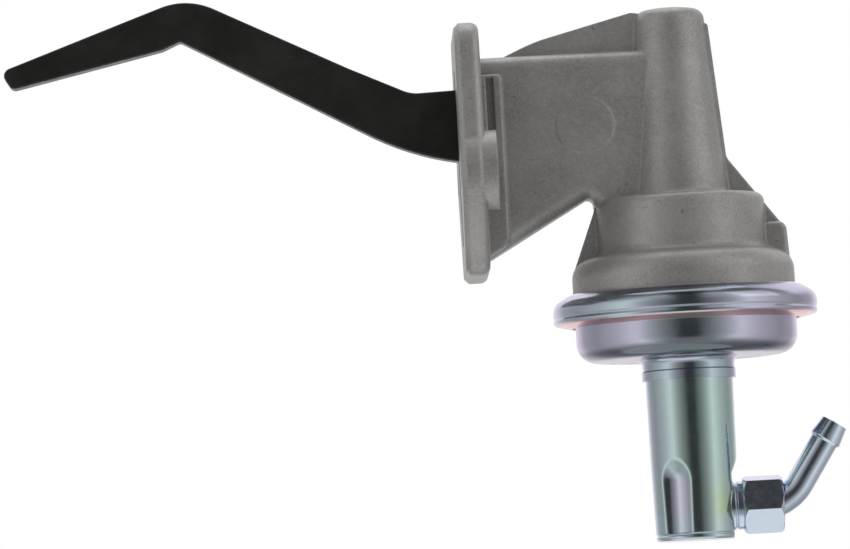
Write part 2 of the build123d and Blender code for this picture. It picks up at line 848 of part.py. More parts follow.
def can_form(inset):
    """Solid form of the can, moved inwards by inset: two flutes and a flat for the port."""
    form = turned(
        (0, can_top + inset, 0),
        (can_neck_radius - inset, can_top + inset, 0),
        (can_neck_radius - inset, collar_end - 0.6, 4),
        (can_radius - inset, can_taper_end, 40),
        (can_foot_radius - inset, can_bottom + inset, can_corner - inset / 2),
        (0, can_bottom + inset, 0),
    )
    floor = flute_floor - inset
    past = can_bottom - 5
    flat = slab(
        outline(
            (axis_x + floor, past, 0),
            (axis_x + floor, port_flat_foot + inset / 2, 1.5),
            (axis_x + can_radius + 0.05 - inset, port_flat_top + inset / 2, 0.5),
            (axis_x + 25, port_flat_top + inset / 2, 0),
            (axis_x + 25, past, 0),
        ),
        -20,
        20,
    )
    form -= flat
    bed = flute_floor_width / 2 + inset
    mouth = flute_mouth_width / 2 + inset
    slope = degrees(atan2(mouth - bed, flute_mouth_radius - flute_floor))
    length = flute_top + inset - past
    middle = flute_top + inset - length / 2
    slot = Pos(0, middle - bed, 0) * SlotOverall(length + 2 * bed, 2 * bed, rotation=90)
    cutter = extrude(Plane.YZ.offset(floor) * slot, 6, taper=-slope)
    for turn in (120, 240):
        form -= Pos(axis_x, 0, 0) * Rot(0, 0, turn) * cutter
    return form


def fuel_can():
    """Deep-drawn can below the bowl, its open end brazed inside the collar."""
    can = can_form(0) - can_form(can_wall)
    can -= Pos(axis_x, 0, can_top + 1) * Cylinder(
        can_neck_radius - can_wall, 4, align=(Align.CENTER, Align.CENTER, Align.MAX))
    hole = Plane(origin=(axis_x, 0, port_z), x_dir=(0, 1, 0), z_dir=(1, 0, 0))
    return can - hole * Cylinder(port_body_radius + braze_gap, 40,
                                 align=(Align.CENTER, Align.CENTER, Align.MIN))


def fuel_riser():
    """Funnel that leads fuel from the can to the inlet valve, apart from the bowl's outer space."""
    foot = can_neck_radius - can_wall - braze_gap
    top = valve_floor - valve_plate_thickness
    return pressed(
        riser_wall,
        [
            (riser_funnel_radius, top),
            (riser_funnel_radius, top - 1.4),
            (foot, top - 4.6),
            (foot, step_z - riser_lap),
        ],
        [0.9, 1.6],
    )


def port_plane(distance):
    """Plane across the inlet port's axis at a distance from the can's axis."""
    return Plane(origin=(axis_x + distance, 0, port_z), x_dir=(0, 1, 0), z_dir=(1, 0, 0))


def inlet_port():
    """Threaded steel port brazed into the can's flat flute, with a seat for the flared tube."""
    start = flute_floor - 2.5
    collar = port_plane(start) * Cylinder(
        port_flange_radius, port_flange_end - start, align=(Align.CENTER, Align.CENTER, Align.MIN))
    port = collar - can_form(0)
    port += port_plane(port_body_start) * Cylinder(
        port_body_radius, port_flange_end - port_body_start,
        align=(Align.CENTER, Align.CENTER, Align.MIN))
    seat = port_flange_end - port_seat_depth
    port -= port_plane(seat) * Cylinder(
        port_thread_radius, 20, align=(Align.CENTER, Align.CENTER, Align.MIN))
    return port - port_plane(0) * Cylinder(
        port_hole_radius, 30, align=(Align.CENTER, Align.CENTER, Align.MIN))


def tube_nut():
    """Hexagon nut with a threaded shank, both ends of the hexagon chamfered."""
    across = nut_flats / sqrt(3)
    hexagon = port_plane(port_flange_end) * Rot(0, 0, nut_turn) * extrude(
        RegularPolygon(across, 6), nut_length)
    cone = 1.5
    round_off = revolve(
        Plane.XZ * outline(
            (0, 0, 0),
            (nut_flats / 2, 0, 0),
            (nut_flats / 2 + 2 * cone, cone, 0),
            (nut_flats / 2 + 2 * cone, nut_length - cone, 0),
            (nut_flats / 2, nut_length, 0),
            (0, nut_length, 0),
        ),
        Axis.Z,
    )
    nut = hexagon & port_plane(port_flange_end) * round_off
    shank_length = port_seat_depth - 1.8
    nut += port_plane(port_flange_end - shank_length) * Cylinder(
        port_thread_radius - nut_shank_gap, shank_length + 1,
        align=(Align.CENTER, Align.CENTER, Align.MIN))
    nut -= port_plane(port_flange_end + nut_length - nut_counterbore_depth) * Cylinder(
        nut_counterbore_radius, 20, align=(Align.CENTER, Align.CENTER, Align.MIN))
    return nut - port_plane(0) * Cylinder(
        tube_radius + tube_gap, 60, align=(Align.CENTER, Align.CENTER, Align.MIN))


def inlet_tube():
    """Bent steel tube: flared foot under the nut, one bend and a beaded end for the hose."""
    seat_x = axis_x + port_flange_end - port_seat_depth
    rise = radians(tube_second_angle)
    step = tube_second_bend_x - tube_first_bend_x
    first = (tube_first_bend_x, port_z)
    second = (tube_second_bend_x, port_z + step * tan(radians(tube_first_angle)))
    run = (tube_end_z - second[1]) / sin(rise)
    end = (second[0] + run * cos(rise), tube_end_z)
    path = Plane.XZ * FilletPolyline(
        (seat_x + 0.2, port_z), first, second, end, radius=[tube_first_radius, tube_second_radius])
    section = port_plane(seat_x + 0.2 - axis_x) * Circle(tube_radius)
    tube = sweep(section, path)
    flare = port_plane(seat_x + 0.2 - axis_x) * Cone(
        port_thread_radius - 0.4, tube_radius, 1.5, align=(Align.CENTER, Align.CENTER, Align.MIN))
    tip = Plane(origin=(end[0], 0, end[1]), x_dir=(0, 1, 0), z_dir=(cos(rise), 0, sin(rise)))
    bead = tip * Pos(0, 0, -bead_length - 1.2) * revolve(
        Plane.XZ * outline(
            (0, 0, 0),
            (tube_radius, 0, 0),
            (bead_radius, 1.2, 0.6),
            (bead_tip_radius, bead_length + 1.2, 0.3),
            (0, bead_length + 1.2, 0),
        ),
        Axis.Z,
    )
    bore = sweep(port_plane(seat_x + 0.2 - axis_x) * Circle(tube_radius - tube_wall), path)
    return tube + flare + bead - bore


def outlet_port():
    """Threaded steel fitting brazed into the back of the bowl for the delivery line."""
    start = bowl_radius - bowl_thickness - 1.4
    along_y = Plane(origin=(axis_x, 0, outlet_z), x_dir=(1, 0, 0), z_dir=(0, 1, 0))
    thread_start = outlet_body_end - outlet_thread_depth
    return along_y * revolve(
        Plane.XZ * outline(
            (outlet_hole_radius, start, 0),
            (outlet_spigot_radius, start, 0),
            (outlet_spigot_radius, outlet_spigot_end, 0),
            (outlet_body_radius, outlet_spigot_end, 0.8),
            (outlet_body_radius, outlet_body_end, 0.8),
            (outlet_thread_radius, outlet_body_end, 0),
            (outlet_thread_radius, thread_start, 0),
            (outlet_hole_radius, thread_start, 0),
        ),
        Axis.Z,
    )


def pieces():
    """Every piece of the pump under its own name."""
    made = {
        "body_casting": body_casting(),
        "pivot_pin": pivot_pin(),
        "rocker_arm": rocker_arm(),
        "arm_bushing": arm_bushing(),
        "return_spring_seat": return_spring_seat(),
        "arm_return_spring": arm_return_spring(),
        "pull_rod": pull_rod(),
        "rod_seal": rod_seal(),
        "seal_retainer": seal_retainer(),
        "diaphragm_spring": diaphragm_spring(),
        "upper_diaphragm_plate": upper_diaphragm_plate(),
        "diaphragm": diaphragm(),
        "lower_diaphragm_plate": lower_diaphragm_plate(),
        "valve_plate": valve_plate(),
        "bowl_gasket": bowl_gasket(),
        "crimp_ring": crimp_ring(),
        "fuel_bowl": fuel_bowl(),
        "fuel_riser": fuel_riser(),
        "fuel_can": fuel_can(),
        "inlet_port": inlet_port(),
        "tube_nut": tube_nut(),
        "inlet_tube": inlet_tube(),
        "outlet_port": outlet_port(),
    }
    for name, x, z, flow in valve_places():
        made[name + "_valve_seat"] = valve_seat(flow, x, z)
        made[name + "_valve_disc"] = valve_disc(flow, x, z)
        made[name + "_valve_cage"] = valve_cage(flow, x, z)
        made[name + "_valve_spring"] = valve_spring(flow, x, z)
    return made


os.makedirs("parts", exist_ok=True)
for node, shape in pieces().items():
    export_step(shape, f"parts/{node}.step")
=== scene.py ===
"""Mechanical fuel pump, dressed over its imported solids.

The frame's origin is the middle of the flange's two bolt holes, +X runs from the mounting face to the pump and
+Z up its diaphragm axis. Blender's lengths are metres; outlines are drawn in millimetres and turned to metres
where they become a mesh.
"""

import json
import math
from types import SimpleNamespace

import bmesh
import bpy
import numpy as np
from mathutils import Matrix, Vector


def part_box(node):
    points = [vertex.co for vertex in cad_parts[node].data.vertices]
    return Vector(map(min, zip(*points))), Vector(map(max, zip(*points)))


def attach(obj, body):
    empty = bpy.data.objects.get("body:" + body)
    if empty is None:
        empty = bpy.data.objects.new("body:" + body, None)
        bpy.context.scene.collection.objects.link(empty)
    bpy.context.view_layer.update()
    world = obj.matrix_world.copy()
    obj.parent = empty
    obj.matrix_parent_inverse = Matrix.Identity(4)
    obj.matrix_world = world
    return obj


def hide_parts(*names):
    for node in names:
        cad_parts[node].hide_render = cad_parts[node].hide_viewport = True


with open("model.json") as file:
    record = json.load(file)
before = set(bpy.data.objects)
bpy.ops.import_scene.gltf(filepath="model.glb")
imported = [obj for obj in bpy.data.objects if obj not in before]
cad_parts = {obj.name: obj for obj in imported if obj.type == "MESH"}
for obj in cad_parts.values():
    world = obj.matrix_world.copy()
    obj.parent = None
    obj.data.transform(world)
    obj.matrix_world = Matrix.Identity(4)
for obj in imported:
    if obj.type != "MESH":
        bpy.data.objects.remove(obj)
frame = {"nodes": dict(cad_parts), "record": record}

bl_info = {
    "name": "Mechanical Fuel Pump",
    "version": (1, 0, 0),
    "blender": (4, 5, 0),
    "location": "View3D > Sidebar > Fuel Pump",
    "description": "Builds the pressed, turned and bent pieces of a fuel pump and gives every piece its finish",
    "category": "Object",
}

MM = 0.001
PHOTO_WIDTH = 850
SHARP_EDGE = math.radians(28)
MERGE_DISTANCE = 1e-7


def span(node, axis):
    """Lowest and highest place of a solid along an axis (0, 1 or 2), in millimetres."""
    low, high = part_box(node)
    return low[axis] / MM, high[axis] / MM


def middle(node, axis):
    """Middle of a solid along an axis, in millimetres."""
    return sum(span(node, axis)) / 2


def half_width(node, axis):
    """Half of a solid's width along an axis, in millimetres."""
    low, high = span(node, axis)
    return (high - low) / 2


PUMP_X = middle("fuel_can", 0)
PUMP_AXIS = (PUMP_X * MM, 0, 0)
RING_RADIUS = half_width("crimp_ring", 0)
RING_FOOT, RING_TOP = span("crimp_ring", 2)
BOWL_FOOT, BOWL_TOP = span("fuel_bowl", 2)
BOWL_FLANGE_RADIUS = half_width("fuel_bowl", 0)
CAN_FOOT, CAN_TOP = span("fuel_can", 2)
CAN_NECK_RADIUS = half_width("fuel_can", 0)
PORT_Z = middle("inlet_port", 2)
PORT_RADIUS = half_width("inlet_port", 2)
NUT_START = span("inlet_port", 0)[1]
NUT_END = span("tube_nut", 0)[1]
TUBE_START = span("inlet_tube", 0)[0]
TUBE_TOP = span("inlet_tube", 2)[1]
OUTLET_Z = middle("outlet_port", 2)
OUTLET_START, OUTLET_END = span("outlet_port", 1)
OUTLET_RADIUS = half_width("outlet_port", 2)

# Where the flutes stand, in degrees from the port, and how fine the grids are: points round a piece and
# millimetres along it.
FLUTE_TURNS = (120, 240)
CAN_ANGLES = 320
CAN_STEP = 0.5
TUBE_ANGLES = 72
TUBE_STEP = 0.6
FITTING_ANGLES = 96
FLOOR_ANGLES = 96

# How light the mirrored room is, from straight behind the pump (0) to straight in front of it (1).
ROOM_LEVELS = (
    (0.0, 1.0), (0.05, 0.9), (0.13, 0.52), (0.3, 0.4), (0.58, 0.6),
    (0.78, 0.9), (0.88, 0.5), (0.97, 0.2), (1.0, 0.08),
)


def unit(vectors):
    """Vectors of length one."""
    return vectors / np.linalg.norm(vectors, axis=-1, keepdims=True)


def bent_line(corners, closed=True, arc_points=9):
    """A line through corners (across, up, radius), each corner rounded by an arc.

    Where the line turns by an angle t, an arc of radius r starts r tan(t / 2) before the corner. Its centre lies
    square to the line there, on the side to which it turns, and its points come from turning the start about
    that centre by equal steps up to t.
    """
    table = np.array(corners, dtype=float)
    points, radii = table[:, :2], table[:, 2]
    runs = unit(np.roll(points, -1, axis=0) - points)
    before = np.roll(runs, 1, axis=0)
    turns = np.arctan2(before[:, 0] * runs[:, 1] - before[:, 1] * runs[:, 0], np.sum(before * runs, axis=1))
    stretches = []
    for number, (corner, radius, into, turn) in enumerate(zip(points, radii, before, turns)):
        if radius == 0 or (not closed and number in (0, len(points) - 1)):
            stretches.append(corner[None])
            continue
        start = corner - into * radius * math.tan(abs(turn) / 2)
        arm = np.array([into[1], -into[0]]) * math.copysign(radius, turn)
        angles = np.linspace(0, turn, arc_points)[:, None]
        swung = arm * np.cos(angles) + np.array([-arm[1], arm[0]]) * np.sin(angles)
        stretches.append(start - arm + swung)
    return np.concatenate(stretches)


def walled(corners, wall):
    """Corners of a sheet's closed outline: its outer line, and back along the same line moved to its right.

    Each corner moves by the sum of the two runs' normals, divided by 1 plus their dot product, times the wall.
    An arc that turns to the right loses the wall from its radius and one that turns to the left gains it.
    """
    table = np.array(corners, dtype=float)
    points = table[:, :2]
    runs = unit(points[1:] - points[:-1])
    normals = np.stack([runs[:, 1], -runs[:, 0]], axis=1)
    before, after = np.vstack([normals[:1], normals]), np.vstack([normals, normals[-1:]])
    moved = points + wall * (before + after) / (1 + np.sum(before * after, axis=1, keepdims=True))
    to_left = before[:, 0] * after[:, 1] - before[:, 1] * after[:, 0] > 0
    radii = np.where(table[:, 2] > 0, np.maximum(table[:, 2] + np.where(to_left, wall, -wall), 0.1), 0)
    inner = np.column_stack([moved, radii])
    return np.vstack([table, inner[::-1]])


def surface(name, points, joined_along=True):
    """A mesh over a grid of points (along, around, 3) in millimetres: quads between neighbours, joined around.

    Points that fall together at a pole are merged and the faces are then turned outwards.
    """
    rows, columns = points.shape[:2]
    index = np.arange(rows * columns).reshape(rows, columns)
    if joined_along:
        index = np.vstack([index, index[:1]])
    index = np.hstack([index, index[:, :1]])
    quads = np.stack([index[:-1, :-1], index[:-1, 1:], index[1:, 1:], index[1:, :-1]], axis=-1)
    mesh = bpy.data.meshes.new(name)
    mesh.from_pydata(points.reshape(-1, 3) * MM, [], quads.reshape(-1, 4))
    work = bmesh.new()
    work.from_mesh(mesh)
    bmesh.ops.remove_doubles(work, verts=work.verts, dist=MERGE_DISTANCE)
    bmesh.ops.recalc_face_normals(work, faces=work.faces)
    work.to_mesh(mesh)
    work.free()
    return smooth(mesh)


def smooth(mesh):
    """Shades a mesh smooth, with its sharp edges kept."""
    mesh.polygons.foreach_set("use_smooth", np.ones(len(mesh.polygons), dtype=bool))
    mesh.set_sharp_from_angle(angle=SHARP_EDGE)
    return mesh


def turned(line, origin, axis, start=(1, 0, 0), steps=180):
    """A line of (radius, height) carried round an axis.

    A point is the origin, plus its height along the axis, plus its radius times the direction that the angle
    gives between two directions square to the axis.
    """
    axis, first = np.array(axis, dtype=float), np.array(start, dtype=float)
    second = np.cross(axis, first)
    angles = np.linspace(0, 2 * math.pi, steps, endpoint=False)
    around = np.outer(np.cos(angles), first) + np.outer(np.sin(angles), second)
    return np.array(origin) + line[:, None, 1:2] * axis + line[:, None, 0:1] * around


def put(name, mesh, material, slot, *nodes, body="housing"):
    """Links a finished piece that stands for solids of the frame and moves with their body."""
    mesh.materials.clear()
    mesh.materials.append(material)
    piece = bpy.data.objects.new(name, mesh)
    bpy.context.scene.collection.objects.link(piece)
    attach(piece, body)
    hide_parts(*nodes)


def property_names(group):
    """Names of the properties that a property group declares itself."""
    return [name for name in group.bl_rna.properties.keys() if name not in ("rna_type", "name")]


def in_mm(group):
    """The lengths of a property group, in millimetres."""
    return SimpleNamespace(**{name: getattr(group, name) / MM for name in property_names(group)})


def ring_line(s):
    """Section of the rolled ring: sloped top lip, wall with its seam groove, lower lip and the inside."""
    groove, groove_half, groove_round = RING_FOOT + s.ring_groove_rise, 0.8, 0.4
    hem_top, hem_foot, hem_inset = RING_FOOT + 1.9, RING_FOOT + 1.4, 0.7
    lower, lower_wall = s.bowl_radius + 1, 1.05
    seat, seat_start = RING_FOOT + 2.6, BOWL_FLANGE_RADIUS - 1.6
    inner, inner_top = RING_RADIUS - s.ring_wall, RING_TOP - 6
    lip_round, lip_inset, lip_wall = 1.2, 0.45, 1.3
    return bent_line([
        (s.ring_lip_radius, RING_TOP, lip_round),
        (RING_RADIUS, RING_TOP - s.ring_slope, s.ring_corner),
        (RING_RADIUS, groove + groove_half, groove_round),
        (RING_RADIUS - s.ring_groove, groove, 0.3),
        (RING_RADIUS, groove - groove_half, groove_round),
        (RING_RADIUS, hem_top, 0.4),
        (RING_RADIUS - hem_inset, hem_foot, 0.5),
        (lower, RING_FOOT, 0.3),
        (lower, RING_FOOT + lower_wall, 0),
        (seat_start, seat, 0),
        (inner, seat, 0),
        (inner, inner_top, 0),
        (s.ring_lip_radius - lip_inset, RING_TOP - lip_wall, 0),
    ])


def bowl_line(s):
    """Section of the drawn bowl: clamped flange, wall, floor, neck band and the wider collar for the can."""
    under = BOWL_TOP - s.bowl_wall
    shoulder_width, shoulder_fall = 3.7, 1.9
    floor = BOWL_FOOT + s.collar_length
    collar = CAN_NECK_RADIUS + s.bowl_wall
    step, step_fall, step_round = floor - s.collar_step, 0.4, 0.15
    return bent_line(walled([
        (BOWL_FLANGE_RADIUS, under, 0),
        (s.bowl_radius + shoulder_width, under, 1.2),
        (s.bowl_radius, under - shoulder_fall, 1.4),
        (s.bowl_radius, floor, s.bowl_corner),
        (s.collar_band, floor, s.bowl_foot_round),
        (s.collar_band, step, step_round),
        (collar, step - step_fall, step_round),
        (collar, BOWL_FOOT, 0),
    ], s.bowl_wall))


def soft_least(first, second, reach):
    """The smaller of two values, blended where they are closer than the reach.

    The share h of the first runs from 0 to 1 over the reach, and reach * h * (1 - h) is taken off their mix.
    """
    share = np.clip(0.5 + 0.5 * (second - first) / reach, 0, 1)
    return first * share + second * (1 - share) - reach * share * (1 - share)


def pressed_in(radius, height, angle, floor, rise, reach):
    """Radius of a round wall where a form whose face lies at floor + rise(side, height) presses it in.

    Seen along the form's direction, a point of the wall lies at depth r cos(angle) and to the side by
    r sin(angle). The wall keeps the smaller of its own depth and the form's, softly, and the radius follows
    from depth / cos(angle). The side moves with the radius, so the step is taken a few times over.
    """
    facing = np.cos(angle) > 0.5
    cosine = np.where(facing, np.cos(angle), 1)
    least_square, repeats = 0.01, 5
    new = radius + 0 * angle
    for _ in range(repeats):
        side = new * np.sin(angle)
        depth = np.sqrt(np.maximum(radius ** 2 - side ** 2, least_square))
        new = np.where(facing, soft_least(depth, floor + rise(side, height), reach) / cosine, radius)
    return np.minimum(new, radius + 0 * angle)


def can_wall(s, radius, height, angle, inset):
    """Radius of the can's wall with its two flutes and the flat for the port pressed in.

    A flute's floor is a slot of half width bed under a round top, hollowed as a parabola. Outside it the form's
    face rises with the distance from the slot's edge, and a steep rise ends it over the foot's fold. The port's
    flat rises in a line between its foot and its top, and goes on past the wall.
    """
    bed = s.flute_width / 2 + inset
    centre = s.flute_top + inset - bed
    slope = s.flute_rise / s.flute_shoulder
    flute_end, end_slope = CAN_FOOT + 2.6, 4
    flat_limit = 2.5
    flat_blend, flute_blend = 0.9, 0.5

    def flute(side, up):
        far = np.hypot(side, np.maximum(up - centre, 0))
        hollow = np.clip(1 - (far / bed) ** 2, 0, 1) * s.flute_hollow
        end = np.maximum(flute_end - up, 0) * end_slope
        return np.maximum(far - bed, 0) * slope - hollow + end

    def flat(side, up):
        return np.clip((up - s.flat_foot) / (s.flat_top - s.flat_foot), 0, flat_limit) * s.flat_depth

    floor = s.flute_floor - inset
    formed = pressed_in(radius, height, angle, floor, flat, flat_blend)
    for turn in FLUTE_TURNS:
        own = (angle - math.radians(turn) + math.pi) % (2 * math.pi) - math.pi
        formed = np.minimum(formed, pressed_in(radius, height, own, floor, flute, flute_blend))
    return formed


def can_points(s):
    """The can's grid: from the inner pole up the inside, over the rim and down the outside to the outer pole.

    A point at an angle lies at the pump's axis plus the formed wall's radius times the angle's cosine and sine,
    at its line's own height. The inside takes every second point of the outside, moved in by the wall.
    """
    fold_top, fold, fold_foot = CAN_FOOT + 2.3, CAN_FOOT + 1.9, CAN_FOOT + 1.4
    fold_depth, hem_inset = 0.45, 0.05
    outer = even_steps(bent_line([
        (CAN_NECK_RADIUS, CAN_TOP, 0),
        (CAN_NECK_RADIUS, BOWL_FOOT - 0.6, 4),
        (s.can_radius, s.can_taper_end, 40),
        (s.can_foot_radius, fold_top, 0.8),
        (s.can_foot_radius - fold_depth, fold, 0.3),
        (s.can_foot_radius - hem_inset, fold_foot, 0.4),
        (s.can_foot_radius - hem_inset, CAN_FOOT, s.can_corner),
        (0, CAN_FOOT, 0),
    ], closed=False, arc_points=10), CAN_STEP)
    inner = np.vstack([outer[:-1:2], outer[-1:]])
    inner[:, 0] = np.maximum(inner[:, 0] - s.can_wall, 0)
    inner[:, 1] = np.maximum(inner[:, 1], CAN_FOOT + s.can_wall)
    angles = np.linspace(0, 2 * math.pi, CAN_ANGLES, endpoint=False)[None]
    parts = []
    for line, inset in ((inner[::-1], s.can_wall), (outer, 0)):
        radius, height = line[:, :1], line[:, 1:]
        formed = can_wall(s, radius, height, angles, inset)
        parts.append(np.stack([
            PUMP_X + formed * np.cos(angles), formed * np.sin(angles), height + 0 * angles], axis=-1))
    return np.concatenate(parts)


def line_lengths(line):
    """Length along a line at each of its points: the sum of the distances between neighbours up to there."""
    return np.concatenate([[0], np.cumsum(np.linalg.norm(np.diff(line, axis=0), axis=1))])


def along_line(places, lengths, values):
    """Pairs of values at places along a line, in proportion between the two nearest of its points."""
    return np.stack([np.interp(places, lengths, values[:, column]) for column in (0, 1)], axis=1)


def even_steps(line, step):
    """The same line with points about a step apart, found by its length, and its own points kept."""
    lengths, least_step = line_lengths(line), 1e-4
    marks = np.union1d(lengths, np.arange(0, lengths[-1], step))
    marks = marks[np.concatenate([[True], np.diff(marks) > least_step])]
    return along_line(marks, lengths, line)


def nut_points(s):
    """Hexagon nut about the port's axis, with the ends of the hexagon turned to a cone, and its bore.

    At an angle a from the middle of a flat, the flat lies at half the width over flats / cos(a), and a is held
    a little short of 30 degrees, which blunts the corners. The end cone starts at half that width and meets the
    flat where 0.85 of what the flat stands out has gone by.
    """
    corner, cone_slope = 29.4, 0.85
    sector = np.sort(np.concatenate([np.linspace(-30, 30, 25)[:-1], [-corner, corner]]))
    angles = np.radians((np.arange(6)[:, None] * 60 + sector + s.nut_turn_degrees).ravel())
    half = s.nut_flats / 2
    flat = half / np.cos(np.radians(np.tile(np.clip(sector, -corner, corner), 6)))
    gone = (flat - half) * cone_slope
    edge, rim, face = 0.12, half + 0.06, half - 0.12
    hole = s.tube_radius + 0.1
    section = [
        (NUT_START, half - 0.6),
        (NUT_START, face),
        (NUT_START + edge, rim),
        (NUT_START + edge + gone, flat),
        (NUT_END - edge - gone, flat),
        (NUT_END - edge, rim),
        (NUT_END, face),
        (NUT_END, s.nut_bore + 0.25),
        (NUT_END - 0.3, s.nut_bore),
        (NUT_END - s.nut_bore_depth, s.nut_bore),
        (NUT_END - s.nut_bore_depth, hole),
        (NUT_START, hole),
    ]
    along = np.array([place + 0 * flat for place, radius in section])
    radii = np.array([radius + 0 * flat for place, radius in section])
    return np.stack([along, -radii * np.sin(angles), PORT_Z + radii * np.cos(angles)], axis=-1)


def tube_points(s):
    """The bent tube: a closed wall section (along, radius) carried along a path of two bends.

    The path is a bent line in XZ. A section point at a length along it stands off the path by its radius, in
    the direction that the angle gives between the path's own normal and the Y axis.
    """
    first, second = math.radians(s.tube_first_degrees), math.radians(s.tube_second_degrees)
    first_radius, second_radius = 9, 15
    knee_x, knee_z = s.tube_second_bend, PORT_Z + (s.tube_second_bend - s.tube_first_bend) * math.tan(first)
    end_z = TUBE_TOP - s.bead_tip_radius * math.cos(second)
    end_x = knee_x + (end_z - knee_z) / math.tan(second)
    path = even_steps(bent_line([
        (TUBE_START, PORT_Z, 0),
        (s.tube_first_bend, PORT_Z, first_radius),
        (knee_x, knee_z, second_radius),
        (end_x, end_z, 0),
    ], closed=False, arc_points=24), TUBE_STEP)
    lengths = line_lengths(path)
    total = lengths[-1]
    bore, flare, flare_length = s.tube_radius - 1, 5.8, 1.5
    bead_start, bead_rise = total - s.bead_length - 1.2, 0.9
    section = bent_line([
        (0, bore, 0),
        (0, flare, 0),
        (flare_length, s.tube_radius, 0),
        (bead_start, s.tube_radius, 0.3),
        (bead_start + bead_rise, s.bead_radius, 0.5),
        (total, s.bead_tip_radius, 0.25),
        (total, bore, 0.25),
    ])
    section = even_steps(np.vstack([section, section[:1]]), TUBE_STEP)[:-1]
    places = np.clip(section[:, 0], 0, total)
    centre = along_line(places, lengths, path)
    way = unit(along_line(places, lengths, unit(np.gradient(path, lengths, axis=0))))
    angles = np.linspace(0, 2 * math.pi, TUBE_ANGLES, endpoint=False)
    normal = np.stack([-way[:, 1], np.zeros(len(way)), way[:, 0]], axis=1)
    centre = np.stack([centre[:, 0], np.zeros(len(centre)), centre[:, 1]], axis=1)
    around = normal[:, None] * np.cos(angles)[None, :, None] + np.array([0, 1, 0]) * np.sin(angles)[None, :, None]
    return centre[:, None] + section[:, 1][:, None, None] * around


def port_line(s):
    """Section of the port: the stub in the can, the collar with a turned groove, the thread's bore and the hole."""
    flat = PUMP_X + s.flute_floor
    stub, stub_end, collar_start = PORT_RADIUS - 1.1, flat - 5, flat - 2.4
    groove = PORT_RADIUS - 0.55
    cuff = PORT_RADIUS - 0.1
    thread_end = NUT_START - 6.6
    return bent_line([
        (s.port_hole_radius, stub_end, 0),
        (stub, stub_end, 0),
        (stub, collar_start, 0),
        (PORT_RADIUS, collar_start, 0),
        (PORT_RADIUS, flat + 0.75, 0.25),
        (groove, flat + 0.95, 0.1),
        (groove, flat + 1.35, 0.1),
        (cuff, flat + 1.6, 0.2),
        (cuff, NUT_START, 0.2),
        (s.port_thread_radius, NUT_START, 0),
        (s.port_thread_radius, thread_end, 0),
        (s.port_hole_radius, thread_end, 0),
    ])


def outlet_line(s):
    """Section of the delivery fitting: spigot, thicker body with softened ends, threaded hole and bore."""
    shoulder, end_round, thread_end = OUTLET_END - 11.8, 0.8, OUTLET_END - 9
    return bent_line([
        (s.outlet_bore_radius, OUTLET_START, 0),
        (s.outlet_spigot_radius, OUTLET_START, 0),
        (s.outlet_spigot_radius, shoulder, 0.3),
        (OUTLET_RADIUS, shoulder, end_round),
        (OUTLET_RADIUS, OUTLET_END, end_round),
        (s.outlet_thread_radius, OUTLET_END, 0.3),
        (s.outlet_thread_radius, thread_end, 0),
        (s.outlet_bore_radius, thread_end, 0),
    ])


class Value:
    """A number that changes over a surface. Arithmetic on it adds Math nodes to its graph."""

    def __init__(self, graph, socket):
        self.graph = graph
        self.socket = socket

    def math(self, operation, *numbers):
        """Adds a Math node over one or two numbers."""
        return self.graph.node("ShaderNodeMath", {"operation": operation}, dict(enumerate(numbers)))

    def __abs__(self):
        return self.math("ABSOLUTE", self)

    def __add__(self, other):
        return self.math("ADD", self, other)

    def __radd__(self, other):
        return self.math("ADD", other, self)

    def __sub__(self, other):
        return self.math("SUBTRACT", self, other)

    def __rsub__(self, other):
        return self.math("SUBTRACT", other, self)

    def __mul__(self, other):
        return self.math("MULTIPLY", self, other)

    def __rmul__(self, other):
        return self.math("MULTIPLY", other, self)

    def __truediv__(self, other):
        return self.math("DIVIDE", self, other)

    def __rtruediv__(self, other):
        return self.math("DIVIDE", other, self)


